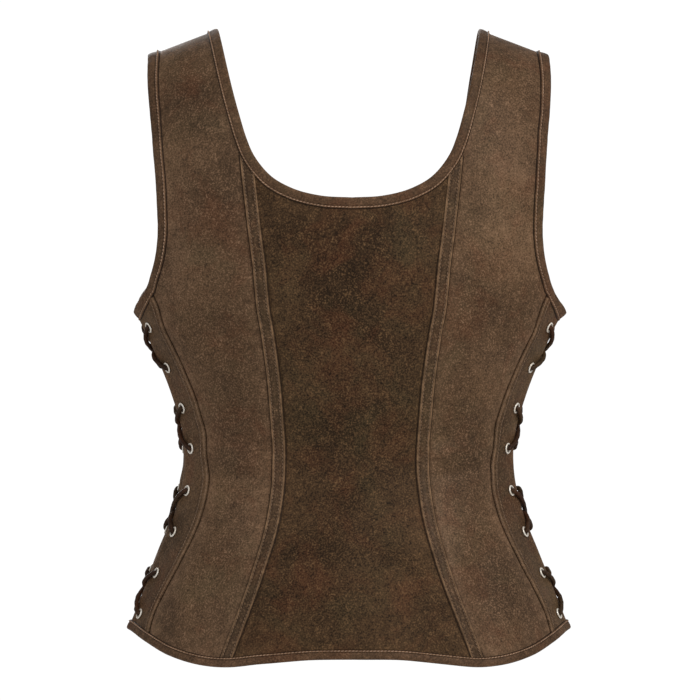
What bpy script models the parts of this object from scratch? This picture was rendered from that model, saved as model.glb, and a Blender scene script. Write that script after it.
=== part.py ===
"""Corset top of brown distressed leather, filled out to its worn form.

Wide shoulder straps, a scooped neck, princess seams under boning channels at the back, bound neck, armholes and
hem, and eight pairs of eyelets with a lace at each side.

Metres, +Z up. The front faces -Y and the wearer's left is +X. The origin lies between the shoulder straps, at the
height where they rest on the shoulders. A drop is a distance below the origin.
"""

import bmesh
import bpy
import numpy as np
from mathutils import Matrix, Vector

NAME = "corset_top"
MM = 0.001

# Cloth, gaps and trim
WALL = 1.5 * MM
PRINCESS_TRIM = 0.25 * MM  # each piece ends this far from the middle of its seam
SIDE_SEAM_TRIM = 0.35 * MM
SHOULDER_TRIM = 0.45 * MM
RAW_EDGE = 1.9 * MM  # a bound piece ends this far inside the finished edge
STEEPEST_SLANT = 0.35  # sine of the least angle at which a trim is still measured square to its edge
BINDING_WALL = 0.8 * MM
BINDING_CLEAR = 0.5 * MM
BINDING_INNER_CLEAR = 1.3 * MM  # the inner leg lies looser
BINDING_ROUND = 0.7 * MM
NECK_BINDING_WIDTH = 9.0 * MM
ARMHOLE_BINDING_WIDTH = 9.5 * MM
HEM_BINDING_WIDTH = 7.5 * MM
CHANNEL_WIDTH = 10.0 * MM
CHANNEL_WALL = 0.9 * MM
CHANNEL_CLEAR = 0.5 * MM

# Side lacing. Places across it are distances from the middle of the gap, towards the back.
GAP_WIDTH = 11.0 * MM
GAP_BEHIND_SIDE = 12.0 * MM
EYELET_ROWS = 8
EYELET_FIRST_DROP = 234.0 * MM
EYELET_SPACING = 33.0 * MM
EYELET_FROM_EDGE = 11.0 * MM
EYELET_RADIUS = 5.0 * MM
EYELET_BORE = 2.45 * MM
EYELET_BARREL = 2.95 * MM
EYELET_DOME = 0.9 * MM
EYELET_CLEAR = 0.5 * MM
EYELET_SIDES = 8
HOLE_RADIUS = 3.35 * MM
HOLE_SIDES = 8
LACE_RADIUS = 1.5 * MM
LACE_SIDES_STEP = 1  # bevel_resolution, six sides
KNOT_SWELL = 2.1

# The shoulder: its ridge runs straight from the strap's inner corner to its outer one, and the cloth rolls over it.
RIDGE_INNER_X = 107.0 * MM
RIDGE_INNER_DROP = -10.0 * MM
RIDGE_SLOPE = 0.379
ARCH = 96.0 * MM
ARCH_LEVEL = ARCH * np.pi / 2

# Levels are measured down the cloth from the ridge. Below the shoulders they turn into plain drops.
FLAT_DROP = 200.0 * MM
FLAT_LEVEL = ARCH_LEVEL + FLAT_DROP - (RIDGE_INNER_DROP + ARCH)
WAIST_DROP = 330.0 * MM
HEM_DROP = 503.0 * MM
HEM_LEVEL = FLAT_LEVEL + HEM_DROP - FLAT_DROP

# Number of steps down and across the pieces
ARCH_ROWS = 8
YOKE_ROWS = 6
CENTRE_COLUMNS = 12
SIDE_SHARES = (0, 0.12, 0.37, 0.63, 0.88, 1)  # narrow columns lie under the bindings
LACING_COLUMNS = 3

BACK = 1
FRONT = -1
ROUNDNESS = 2.1  # exponent of the rings: 2 is an ellipse, and more is squarer


def table(*rows):
    """Rows given in millimetres, as an array in metres."""
    return np.array(rows) * MM


# Rings of the filled-out form: drop, half width, depth behind and depth in front of the side line
BODY = table(
    (-60, 190, 92, 84),
    (60, 190, 98, 92),
    (110, 190, 103, 104),
    (150, 184, 105, 116),
    (185, 179, 105, 125),
    (205, 178.3, 103.5, 127),
    (220, 175.7, 102, 126.5),
    (235, 168.8, 99.5, 124),
    (260, 157.5, 95, 116),
    (290, 146, 90, 105),
    (328, 136.5, 84, 96),
    (350, 136.5, 84, 95),
    (380, 142, 92, 100),
    (417, 156, 107, 110),
    (456, 171.5, 119, 118),
    (480, 181, 125, 122),
    (515, 192, 131, 127),
)
HALF_WIDTH, BACK_DEPTH, FRONT_DEPTH = 1, 2, 3

# Finished edges and seams of the wearer's left half: x, drop, each from the top down
NECK = {
    BACK: table((107, -10), (104.5, 3), (100.5, 23), (96, 43), (91, 62), (84.9, 82), (80.8, 92), (74.6, 101.7),
                (65.6, 111.5), (48.4, 121.4), (25, 127.5), (0, 129)),
    FRONT: table((107, -10), (105, 8), (102, 30), (98.5, 55), (93.5, 80), (87.5, 94), (80, 108), (70, 122),
                 (53, 139), (28, 154), (0, 160)),
}
PRINCESS = {
    BACK: table((84, 109), (78, 162), (72.6, 211.6), (63, 277), (59.6, 318), (59, 359), (63.8, 392), (78.5, 441),
                (91, 474), (105, 509)),
    FRONT: table((92, 120), (90, 165), (88, 211), (74, 270), (63, 310), (59, 350), (64, 392), (78.5, 441),
                 (91, 474), (105, 509)),
}
ARMHOLE = {
    BACK: table((164.5, 11.8), (165, 30), (163.6, 55), (161.3, 80), (159.3, 105), (157.6, 135), (157, 160),
                (159.5, 180), (165.6, 200)),
    FRONT: table((164.5, 11.8), (163, 30), (159.5, 55), (155.5, 80), (153, 105), (152, 135), (154, 162),
                 (158.7, 182), (165.6, 200)),
}
SIDE_SEAM = table((157.3, 217), (150, 237), (140.7, 257), (132.6, 275.5), (125, 295), (119.4, 318), (116.2, 345),
                  (116.3, 366), (120, 383), (127.5, 403), (137.8, 425), (150, 447), (160, 468), (166, 493))
TIP_DROP = 220.0 * MM  # lowest point of the armhole, at the lacing
TIP_ROWS = 3  # rows of a lacing panel that slant along with its top

# Hem: ring angle in degrees from the side line, drop
HEM_TABLE = np.array([(0, 479.5), (12, 483), (24, 491), (36, 501), (48, 508), (57, 509.5), (68, 506.5), (79, 503.5),
                      (90, 503)])
HEM_LINE = np.column_stack((np.radians(HEM_TABLE[:, 0]), HEM_TABLE[:, 1] * MM))

# Boning channel: x where it starts, then distance from its middle towards the side and drop at its slanted top
CHANNEL_TOP_X = 83.5 * MM
CHANNEL_TOP = table((-5, 112), (0, 105.5), (5, 97.5))

# Lace over one strand: share of the way between two eyelets, height over the cloth at an outer and an inner strand.
# The strand that passes over the other at the crossing has its own middle heights.
STRAND_SHARES = (0.07, 0.32, 0.5, 0.68, 0.93)
STRAND_HEIGHTS = {
    ("outside", "under"): (3.5, 2.3, 0.9, 2.3, 3.5),
    ("outside", "over"): (3.6, 3.5, 4.3, 3.5, 3.6),
    ("inside", "under"): (-4.4, -3.7, -2.6, -3.7, -4.4),
    ("inside", "over"): (-4.6, -5.3, -6.0, -5.3, -4.6),
}
THROUGH_HEIGHTS = (2.0, -3.4)
TOP_RUN = ((0.3, -4.2), (0.6, -4.2), (0.85, -4.4))  # inside, from the gap's middle: share of the way, height
KNOT_STEPS = ((0, -5.2, 1.0), (0, -6.4, KNOT_SWELL), (1, -9.4, KNOT_SWELL), (2, -10.6, 1.0), (8, -11, 1.0),
              (16, -10.5, 1.0))  # extra drop in mm, height in mm, swelling


def smooth(knots, column, at):
    """A table's column at places along its first column, on a smooth curve through the rows."""
    places, values = knots[:, 0], knots[:, column]
    slopes = np.gradient(values, places)
    at = np.clip(at, places[0], places[-1])
    i = np.clip(np.searchsorted(places, at) - 1, 0, len(places) - 2)
    width = places[i + 1] - places[i]
    t = (at - places[i]) / width
    start = (1 + 2 * t) * (1 - t) ** 2 * values[i] + t * (1 - t) ** 2 * width * slopes[i]
    end = t * t * (3 - 2 * t) * values[i + 1] + t * t * (t - 1) * width * slopes[i + 1]
    return start + end


def hem_stretched(base, hem_drop):
    """Drop of a plain level, once the cloth below the waist is drawn out to reach the hem line."""
    below = (base - WAIST_DROP) / (HEM_DROP - WAIST_DROP)
    return np.where(base > WAIST_DROP, WAIST_DROP + below * (hem_drop - WAIST_DROP), base)


def form(angle, level):
    """x, y and drop of the form at a ring angle (0 at the side, positive behind) and a level."""
    roll = np.minimum(level / ARCH, np.pi / 2)
    base = RIDGE_INNER_DROP + ARCH * (1 - np.cos(roll)) + np.maximum(level - ARCH_LEVEL, 0)
    half_width = smooth(BODY, HALF_WIDTH, hem_stretched(base, HEM_LINE[0, 1]))
    cosine = np.cos(angle)
    x = half_width * np.sign(cosine) * np.abs(cosine) ** (2 / ROUNDNESS)
    on_slope = RIDGE_INNER_DROP + (np.abs(x) - RIDGE_INNER_X) * RIDGE_SLOPE + ARCH * (1 - np.cos(roll))
    ease = np.clip((level - ARCH_LEVEL) / (FLAT_LEVEL - ARCH_LEVEL), 0, 1)
    hem_drop = smooth(HEM_LINE, 1, np.abs(np.pi / 2 - np.abs(np.pi / 2 - np.abs(angle))))
    drop = np.where(level < FLAT_LEVEL, (1 - ease) * on_slope + ease * FLAT_DROP, hem_stretched(base, hem_drop))
    sine = np.sin(angle)
    depth = np.where(sine > 0, smooth(BODY, BACK_DEPTH, drop), smooth(BODY, FRONT_DEPTH, drop))
    y = np.sign(sine) * depth * np.abs(sine) ** (2 / ROUNDNESS) * np.sin(roll)
    return x, y, drop


def points_on(angle, level):
    """Points of the form, with +Z up."""
    x, y, drop = form(*np.broadcast_arrays(np.asarray(angle, float), np.asarray(level, float)))
    return np.stack((x, y, -drop), axis=-1)


def unit(vectors):
    return vectors / np.linalg.norm(vectors, axis=-1, keepdims=True)


def slopes_on(angle, level):
    """How far a point moves for a small change of its angle, and of its level."""
    step = 1e-4
    by_angle = (points_on(angle + step, level) - points_on(angle - step, level)) / (2 * step)
    by_level = (points_on(angle, level + step) - points_on(angle, level - step)) / (2 * step)
    return by_angle, by_level


def normals_on(angle, level):
    """Unit normals of the form, pointing out."""
    by_angle, by_level = slopes_on(angle, level)
    return unit(np.cross(by_level, by_angle))


def lifted(angle, level, height):
    """Points at a height over the form."""
    return points_on(angle, level) + normals_on(angle, level) * np.asarray(height)[..., None]


def level_at(angle, drop):
    """Level of the point below the shoulders that has a ring angle and a drop."""
    level = FLAT_LEVEL + drop - FLAT_DROP
    for _ in range(30):
        level = level + drop - form(angle, level)[2]
    return level


def angle_at_x(x, level):
    """Ring angle, from 0 to a right angle, of the point at an x on a level."""
    widest = form(np.zeros_like(level), level)[0]
    return np.arccos(np.clip(x / widest, 0, 1) ** (ROUNDNESS / 2))


def find(x, drop):
    """Ring angles and levels of points given by x and drop."""
    over = drop - (RIDGE_INNER_DROP + (x - RIDGE_INNER_X) * RIDGE_SLOPE)
    rolled = ARCH * np.arccos(np.clip(1 - over / ARCH, 0, 1))
    level = np.where(over < ARCH, rolled, ARCH_LEVEL + over - ARCH)
    for _ in range(60):
        angle = angle_at_x(x, level)
        level = np.where(over < ARCH, rolled, level + 0.7 * (drop - form(angle, level)[2]))
    return angle, level


def trace(knots, count=300):
    """Angles and levels at many places along a smooth line through knots of x and drop."""
    lengths = np.concatenate(([0], np.cumsum(np.hypot(*np.diff(knots, axis=0).T))))
    along = np.column_stack((lengths, knots))
    places = np.linspace(0, lengths[-1], count)
    return find(np.maximum(smooth(along, 1, places), 0), smooth(along, 2, places))


def cloth_edges(side):
    """The edges of the pieces of the back or the front, as ring angles at the shared levels, and the neck's scoop."""
    neck_angle, neck_level = trace(NECK[side])
    corner = int(np.argmax(neck_level >= ARCH_LEVEL))
    neck_corner = np.interp(ARCH_LEVEL, neck_level[:corner + 1], neck_angle[:corner + 1])
    scoop = np.vstack(([neck_corner, ARCH_LEVEL], np.column_stack((neck_angle, neck_level))[corner:]))
    arm_angle, arm_level = trace(ARMHOLE[side])
    princess_angle, princess_level = find(*PRINCESS[side].T)
    princess = np.column_stack((np.append(ARCH_LEVEL, princess_level), np.append(neck_corner, princess_angle)))
    seam_angle, seam_level = find(*SIDE_SEAM.T)
    seam = np.column_stack((np.append(FLAT_LEVEL, seam_level), np.append(arm_angle[-1], seam_angle)))
    inner = np.where(LEVELS < ARCH_LEVEL, np.interp(LEVELS, neck_level[:corner + 1], neck_angle[:corner + 1]),
                     smooth(princess, 1, LEVELS))
    outer = np.where(LEVELS < FLAT_LEVEL, np.interp(LEVELS, arm_level, arm_angle), smooth(seam, 1, LEVELS))
    return {"inner": inner, "outer": outer, "scoop": scoop, "princess": princess}


def lacing_angle(across, level):
    """Ring angle of the point that lies a distance behind the middle of the lacing's gap."""
    y = GAP_BEHIND_SIDE + across
    drop = form(np.zeros_like(level), level)[2]
    depth = np.where(y > 0, smooth(BODY, BACK_DEPTH, drop), smooth(BODY, FRONT_DEPTH, drop))
    return np.sign(y) * np.arcsin((np.abs(y) / depth) ** (ROUNDNESS / 2))


# Levels of the rows: over the shoulder, down the yoke, then two rows for each pair of eyelets, down to the hem
side_drops = np.append(EYELET_FIRST_DROP + EYELET_SPACING / 2 * np.arange(-1, 2 * EYELET_ROWS - 1), HEM_LINE[0, 1])
LEVELS = np.concatenate((
    np.linspace(0, ARCH_LEVEL, ARCH_ROWS + 1),
    np.linspace(ARCH_LEVEL, FLAT_LEVEL, YOKE_ROWS + 1)[1:],
    level_at(np.zeros_like(side_drops), side_drops),
))
CORNER_ROW = ARCH_ROWS
SEAM_ROW = ARCH_ROWS + YOKE_ROWS

parts = bpy.data.collections.new(NAME)
helpers = bpy.data.collections.new("cutters")


def material(name, colour, roughness, metallic=0.0):
    """A plain finish for one piece."""
    made = bpy.data.materials.new(name)
    made.use_nodes = True
    shader = made.node_tree.nodes["Principled BSDF"]
    shader.inputs["Base Color"].default_value = (*colour, 1)
    shader.inputs["Roughness"].default_value = roughness
    shader.inputs["Metallic"].default_value = metallic
    return made


def add(name, data, finish, collection=None):
    """A named object for one piece, with its finish."""
    piece = bpy.data.objects.new(name, data)
    (collection or parts).objects.link(piece)
    if not data.materials:
        data.materials.append(finish)
    return piece


def pull_in(grid, distance):
    """Moves a grid's first row towards its second, so that it ends a distance inside its old line."""
    step = unit(grid[1] - grid[0])
    slant = np.linalg.norm(np.cross(step, unit(np.gradient(grid[0], axis=0))), axis=-1)
    grid[0] += step * (distance / np.maximum(slant, STEEPEST_SLANT))[:, None]


def sheet_mesh(name, grid, out, ring=False):
    """An open surface through a grid of points, facing the directions given at its first row."""
    rows, columns = grid.shape[:2]
    ids = np.arange(rows * columns).reshape(rows, columns)
    if ring:
        ids = np.column_stack((ids, ids[:, 0]))
    faces = np.stack((ids[:-1, :-1], ids[:-1, 1:], ids[1:, 1:], ids[1:, :-1]), axis=-1)
    across = grid[0, 1:] - grid[0, :-1]
    down = grid[1, :-1] - grid[0, :-1]
    if np.sum(np.cross(across, down) * out[:-1]) < 0:
        faces = faces[..., ::-1]
    mesh = bpy.data.meshes.new(name)
    mesh.from_pydata(grid.reshape(-1, 3).tolist(), [], faces.reshape(-1, 4).tolist())
    return mesh


def thicken(piece, wall, offset):
    """Gives an open surface its wall: inwards for offset -1, outwards for 1."""
    solid = piece.modifiers.new("Wall", "SOLIDIFY")
    solid.thickness = wall
    solid.offset = offset


def mirrored(grid, hand):
    """The grid for the wearer's left (hand 1) or right (hand -1)."""
    return grid * np.array((hand, 1, 1))


def cut_panel(name, angle, level, trims, hand, finish):
    """A piece of cloth on the form. Trims pull in its top, hem, inner and outer edges."""
    grid = points_on(angle, level)
    out = normals_on(angle, level)[0]
    pull_in(grid, trims["top"])
    pull_in(grid[::-1], trims["hem"])
    pull_in(grid.swapaxes(0, 1), trims["inner"])
    pull_in(grid[:, ::-1].swapaxes(0, 1), trims["outer"])
    piece = add(name, sheet_mesh(name, mirrored(grid, hand), mirrored(out, hand)), finish)
    thicken(piece, WALL, -1)
    return piece


def across_by_x(inner, outer, share):
    """Angles at shares of the width between two edges."""
    start, end = (np.cos(edge) ** (2 / ROUNDNESS) for edge in (inner, outer))
    return np.arccos((start[:, None] * (1 - share) + end[:, None] * share) ** (ROUNDNESS / 2))


def scoop_places(edges, columns):
    """Angles and levels at even steps along the scoop of the neck, from its corner to the middle."""
    points = points_on(*edges["scoop"].T)
    lengths = np.concatenate(([0], np.cumsum(np.linalg.norm(np.diff(points, axis=0), axis=1))))
    places = np.linspace(0, lengths[-1], columns + 1)
    return (np.interp(places, lengths, edges["scoop"][:, i]) for i in (0, 1))


def side_panel(name, side, edges, hand, finish):
    """Strap, armhole side and flank in one piece, between the princess seam and the side seam."""
    angle = side * across_by_x(edges["inner"], edges["outer"], np.array(SIDE_SHARES))
    level = np.broadcast_to(LEVELS[:, None], angle.shape)
    rows = np.arange(len(LEVELS))
    trims = {
        "top": SHOULDER_TRIM,
        "hem": RAW_EDGE,
        "inner": np.where(rows <= CORNER_ROW, RAW_EDGE, PRINCESS_TRIM),
        "outer": np.where(rows <= SEAM_ROW, RAW_EDGE, SIDE_SEAM_TRIM),
    }
    return cut_panel(name, angle, level, trims, hand, finish)


def centre_panel(name, side, edges, finish):
    """The middle piece, from the scoop of the neck to the hem, between the princess seams."""
    half = CENTRE_COLUMNS // 2
    levels = LEVELS[CORNER_ROW:]
    seam = edges["inner"][CORNER_ROW:]
    middle = np.full_like(seam, np.pi / 2)
    angle = across_by_x(seam, middle, np.linspace(0, 1, half + 1))
    level = np.broadcast_to(levels[:, None], angle.shape).copy()
    full_row = SEAM_ROW - CORNER_ROW
    scoop_angle, scoop_level = scoop_places(edges, half)
    share = ((levels[:full_row] - levels[0]) / (levels[full_row] - levels[0]))[:, None]
    level[:full_row] = (1 - share) * scoop_level + share * levels[full_row]
    angle[:full_row, 1:] = (1 - share) * scoop_angle[1:] + share * angle[full_row, 1:]
    angle = np.column_stack((angle, np.pi - angle[:, -2::-1]))
    level = np.column_stack((level, level[:, -2::-1]))
    trims = {"top": RAW_EDGE, "hem": RAW_EDGE, "inner": PRINCESS_TRIM, "outer": PRINCESS_TRIM}
    return cut_panel(name, side * angle, level, trims, 1, finish)


def lacing_grid(side, edges):
    """Angles and levels of a lacing panel, from the side seam to its edge at the gap."""
    levels = LEVELS[SEAM_ROW:]
    seam = side * edges["outer"][SEAM_ROW:]
    edge = lacing_angle(side * GAP_WIDTH / 2 * np.ones_like(levels), levels)
    share = np.linspace(0, 1, LACING_COLUMNS + 1)
    angle = seam[:, None] * (1 - share) + edge[:, None] * share
    tip_level = level_at(edge[:1], np.array([TIP_DROP]))
    level = np.broadcast_to(levels[:, None], angle.shape).copy()
    top = levels[0] * (1 - share) + tip_level * share
    for row in range(TIP_ROWS):
        down = (levels[row] - levels[0]) / (levels[TIP_ROWS] - levels[0])
        level[row] = top * (1 - down) + levels[TIP_ROWS] * down
    return angle, level


def eyelet_place(side, row):
    """Ring angle and level of an eyelet's middle."""
    drop = np.array([EYELET_FIRST_DROP + row * EYELET_SPACING])
    level = level_at(np.zeros(1), drop)
    return lacing_angle(np.array([side * (GAP_WIDTH / 2 + EYELET_FROM_EDGE)]), level), level


def frame_at(angle, level, height, hand):
    """Placement with its Z axis out of the cloth, at a height over it."""
    spot = mirrored(lifted(angle, level, np.array([height])), hand)[0]
    out = mirrored(normals_on(angle, level), hand)[0]
    turn = Vector(out).to_track_quat("Z", "Y")
    return Matrix.LocRotScale(Vector(spot), turn, None)


def lacing_panel(name, side, edges, hand, finish):
    """The panel beside the lacing, with a hole for each eyelet."""
    angle, level = lacing_grid(side, edges)
    trims = {"top": RAW_EDGE, "hem": RAW_EDGE, "inner": SIDE_SEAM_TRIM, "outer": 0.0}
    piece = cut_panel(name, angle, level, trims, hand, finish)
    punch = bmesh.new()
    for row in range(EYELET_ROWS):
        place = frame_at(*eyelet_place(side, row), 0.0, hand)
        bmesh.ops.create_cone(punch, cap_ends=True, segments=HOLE_SIDES, radius1=HOLE_RADIUS, radius2=HOLE_RADIUS,
                              depth=8 * WALL, matrix=place)
    mesh = bpy.data.meshes.new(name + "_punch")
    punch.to_mesh(mesh)
    punch.free()
    cutter = add(name + "_punch", mesh, finish, helpers)
    cutter.hide_render = True
    cutter.display_type = "WIRE"
    cut = piece.modifiers.new("Eyelet holes", "BOOLEAN")
    cut.operation = "DIFFERENCE"
    cut.object = cutter
    return piece


def binding(name, angle, level, width, hand, finish, ring=False, inwards=1):
    """A strip folded over an edge. Its legs reach a width into the cloth from each place along the edge."""
    edge = points_on(angle, level)
    if ring:
        ahead = np.roll(edge, -1, axis=0) - np.roll(edge, 1, axis=0)
    else:
        ahead = np.gradient(edge, axis=0)
    out = normals_on(angle, level)
    into = inwards * unit(np.cross(out, ahead))
    by_angle, by_level = slopes_on(angle, level)
    turns = np.array([np.linalg.lstsq(np.column_stack(pair), aim * width, rcond=None)[0]
                      for *pair, aim in zip(by_angle, by_level, into)])
    leg_angle, leg_level = angle + turns[:, 0], level + turns[:, 1]
    top = BINDING_CLEAR + BINDING_WALL
    bottom = -(WALL + BINDING_INNER_CLEAR + BINDING_WALL)
    heights = np.ones(len(edge))
    bend = edge + into * BINDING_ROUND
    grid = np.stack((
        lifted(leg_angle, leg_level, heights * top),
        bend + out * top,
        edge - out * WALL / 2,
        bend + out * bottom,
        lifted(leg_angle, leg_level, heights * bottom),
    ))
    piece = add(name, sheet_mesh(name, mirrored(grid, hand), mirrored(out, hand), ring), finish)
    thicken(piece, BINDING_WALL, -1)
    return piece


def boning_channel(name, side, edges, hand, finish):
    """A flat strip stitched over the princess seam, from the neck binding to the hem binding."""
    across = CHANNEL_TOP[:, 0]
    seam_angle = edges["inner"][CORNER_ROW:]
    levels = LEVELS[CORNER_ROW:]
    tops = find(CHANNEL_TOP_X + across, CHANNEL_TOP[:, 1])[1]
    end = HEM_LEVEL - HEM_BINDING_WIDTH - 2 * BINDING_CLEAR
    lower = levels[(levels > tops.max() + CHANNEL_WIDTH / 2) & (levels < end - CHANNEL_WIDTH / 2)]
    level = np.vstack((tops, np.broadcast_to(np.append(lower, end)[:, None], (len(lower) + 1, len(across)))))
    middle = smooth(edges["princess"], 1, level)
    x = form(middle, level)[0] + across
    angle = side * angle_at_x(x, level)
    grid = lifted(angle, level, np.full(level.shape, CHANNEL_CLEAR))
    piece = add(name, sheet_mesh(name, mirrored(grid, hand), mirrored(normals_on(angle, level)[0], hand)), finish)
    thicken(piece, CHANNEL_WALL, 1)
    return piece


def eyelet_mesh(finish):
    """A turned ring: domed flange, barrel through the cloth. Its Z axis points out of the cloth."""
    foot = -(EYELET_CLEAR + WALL + EYELET_CLEAR)
    profile = [(EYELET_BORE, EYELET_DOME), (EYELET_RADIUS, 0), (EYELET_BARREL, 0), (EYELET_BARREL, foot),
               (EYELET_BORE, foot)]
    mesh = bpy.data.meshes.new("eyelet")
    corners = len(profile)
    mesh.from_pydata([(radius, 0, height) for radius, height in profile],
                     [(i, (i + 1) % corners) for i in range(corners)], [])
    mesh.materials.append(finish)
    return mesh


def eyelet(name, mesh, side, row, hand, finish):
    """One eyelet, set in its hole."""
    piece = add(name, mesh, finish)
    piece.matrix_world = frame_at(*eyelet_place(side, row), EYELET_CLEAR, hand)
    turned = piece.modifiers.new("Turned", "SCREW")
    turned.steps = turned.render_steps = EYELET_SIDES
    turned.use_merge_vertices = True
    turned.merge_threshold = 0.01 * MM
    return piece


def lacing_point(across, drop, height):
    """A point of the lace: distance behind the gap's middle, drop, and height over the cloth in millimetres."""
    level = level_at(np.zeros(1), np.array([drop]))
    return lifted(lacing_angle(np.array([across]), level), level, np.array([height * MM]))[0]


def lace_half(first_side):
    """Half a lace, from the middle of its inner run at the top pair of eyelets down to its knot, and the swellings."""
    reach = GAP_WIDTH / 2 + EYELET_FROM_EDGE
    places = [(first_side * (-1) ** row * reach, EYELET_FIRST_DROP + row * EYELET_SPACING)
              for row in range(EYELET_ROWS)]
    top = places[0]
    points = [lacing_point(top[0] * share, top[1], height) for share, height in TOP_RUN]
    for row, (across, drop) in enumerate(places):
        outwards = row % 2 == 0
        points += [lacing_point(across, drop, height) for height in THROUGH_HEIGHTS[::-1 if outwards else 1]]
        if row + 1 < EYELET_ROWS:
            next_across, next_drop = places[row + 1]
            passes = "over" if (first_side > 0) == (row % 4 < 2) else "under"
            heights = STRAND_HEIGHTS["outside" if outwards else "inside", passes]
            points += [lacing_point(across + (next_across - across) * share, drop + (next_drop - drop) * share, height)
                       for share, height in zip(STRAND_SHARES, heights)]
    swell = [1.0] * len(points)
    for fall, height, size in KNOT_STEPS:
        points.append(lacing_point(across, drop + fall * MM, height))
        swell.append(size)
    return points, swell


def lace(name, hand, finish):
    """One lace, crossed down one side in eight pairs of eyelets."""
    back_points, back_swell = lace_half(BACK)
    front_points, front_swell = lace_half(FRONT)
    points = front_points[::-1] + back_points
    swell = front_swell[::-1] + back_swell
    curve = bpy.data.curves.new(name, "CURVE")
    curve.dimensions = "3D"
    curve.bevel_depth = LACE_RADIUS
    curve.bevel_resolution = LACE_SIDES_STEP
    curve.use_fill_caps = True
    spline = curve.splines.new("POLY")
    spline.points.add(len(points) - 1)
    for knot, point, size in zip(spline.points, points, swell):
        knot.co = (hand * point[0], point[1], point[2], 1)
        knot.radius = size
    return add(name, curve, finish)


def edge_run(side, edges):
    """Places down a strap's armhole edge to the side seam, then along the lacing panel to the tip."""
    angle, level = lacing_grid(side, edges)
    down = side * edges["outer"][:SEAM_ROW], LEVELS[:SEAM_ROW]
    return np.concatenate((down[0], angle[0])), np.concatenate((down[1], level[0]))


def neck_run(side, edges):
    """Places from the shoulder down the left strap and along the scoop to its middle."""
    scoop_angle, scoop_level = scoop_places(edges, CENTRE_COLUMNS // 2)
    angle = np.concatenate((edges["inner"][:CORNER_ROW], scoop_angle))
    level = np.concatenate((LEVELS[:CORNER_ROW], scoop_level))
    whole_angle = np.concatenate((angle, np.pi - angle[-2::-1]))
    return side * whole_angle, np.concatenate((level, level[-2::-1]))


def hem_run(side, edges):
    """Ring angles along the hem, from the left lacing edge to the right one."""
    lacing = lacing_grid(side, edges)[0][-1, ::-1]
    side_part = side * across_by_x(edges["inner"][-1:], edges["outer"][-1:], np.array(SIDE_SHARES))[0, ::-1]
    centre_shares = np.linspace(0, 1, CENTRE_COLUMNS // 2 + 1)
    centre = side * across_by_x(edges["inner"][-1:], np.array([np.pi / 2]), centre_shares)[0]
    left = np.concatenate((lacing, side_part[1:], centre[1:]))
    return np.concatenate((left, side * np.pi - left[-2::-1]))


def build():
    """All the pieces, each in its own finish."""
    for old in list(bpy.data.objects):
        bpy.data.objects.remove(old)
    bpy.context.scene.collection.children.link(parts)
    bpy.context.scene.collection.children.link(helpers)
    suede = material("centre_leather", (0.055, 0.033, 0.018), 0.75)
    smooth_hide = material("side_leather", (0.092, 0.056, 0.032), 0.6)
    laced_hide = material("lacing_leather", (0.075, 0.045, 0.026), 0.62)
    bound = material("binding_leather", (0.068, 0.04, 0.024), 0.6)
    boned = material("channel_leather", (0.085, 0.05, 0.029), 0.6)
    cord = material("lace_cord", (0.016, 0.008, 0.005), 0.7)
    nickel = material("eyelet_nickel", (0.75, 0.71, 0.66), 0.25, 1.0)
    ring = eyelet_mesh(nickel)
    hands = {"L": 1, "R": -1}
    edges = {side: cloth_edges(side) for side in (BACK, FRONT)}
    for side, word in ((BACK, "back"), (FRONT, "front")):
        centre_panel(f"centre_{word}", side, edges[side], suede)
        hem_angle = hem_run(side, edges[side])
        binding(f"hem_binding_{word}", hem_angle, np.full_like(hem_angle, HEM_LEVEL), HEM_BINDING_WIDTH, 1, bound,
                inwards=side)
        for letter, hand in hands.items():
            side_panel(f"side_{word}_{letter}", side, edges[side], hand, smooth_hide)
            lacing_panel(f"lacing_{word}_{letter}", side, edges[side], hand, laced_hide)
            for row in range(EYELET_ROWS):
                eyelet(f"eyelet_{word}_{letter}{row + 1}", ring, side, row, hand, nickel)
    back_neck, front_neck = (neck_run(side, edges[side]) for side in (BACK, FRONT))
    neck = [np.concatenate((front[:0:-1], back[:-1])) for front, back in zip(front_neck, back_neck)]
    binding("neck_binding", *neck, NECK_BINDING_WIDTH, 1, bound, ring=True, inwards=-1)
    back_arm, front_arm = (edge_run(side, edges[side]) for side in (BACK, FRONT))
    arm = [np.concatenate((front[:0:-1], back)) for front, back in zip(front_arm, back_arm)]
    for letter, hand in hands.items():
        binding(f"armhole_binding_{letter}", *arm, ARMHOLE_BINDING_WIDTH, hand, bound)
        boning_channel(f"channel_back_{letter}", BACK, edges[BACK], hand, boned)
        lace(f"lace_{letter}", hand, cord)


build()
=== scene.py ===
"""Looks of the corset top: brown distressed leather, seen from behind, on a white ground."""

import bpy
import numpy as np
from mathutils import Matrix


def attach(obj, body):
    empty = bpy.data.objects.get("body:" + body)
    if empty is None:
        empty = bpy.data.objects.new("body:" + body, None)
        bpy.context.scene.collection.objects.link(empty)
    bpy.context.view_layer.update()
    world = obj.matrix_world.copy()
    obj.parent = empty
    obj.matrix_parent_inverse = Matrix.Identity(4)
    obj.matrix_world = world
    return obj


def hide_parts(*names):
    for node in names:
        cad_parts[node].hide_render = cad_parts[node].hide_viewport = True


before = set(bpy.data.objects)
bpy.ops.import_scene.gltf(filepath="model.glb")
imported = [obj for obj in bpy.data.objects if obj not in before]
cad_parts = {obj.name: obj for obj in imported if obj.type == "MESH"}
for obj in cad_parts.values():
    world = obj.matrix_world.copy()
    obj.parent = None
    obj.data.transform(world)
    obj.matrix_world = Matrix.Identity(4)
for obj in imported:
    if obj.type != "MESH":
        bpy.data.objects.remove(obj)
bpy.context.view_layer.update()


# STUDIO
# A long lens behind the wearer, turned a little to the wearer's left. White ground, soft light all round, a
# large lamp from the upper right of the picture, a weaker one from the left and one in front for the other
# side.
MM = 0.001
LOOK_AT = (-0.0014, 0.0, -0.2527)
CAMERA_TURN = np.radians(1.6)
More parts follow.
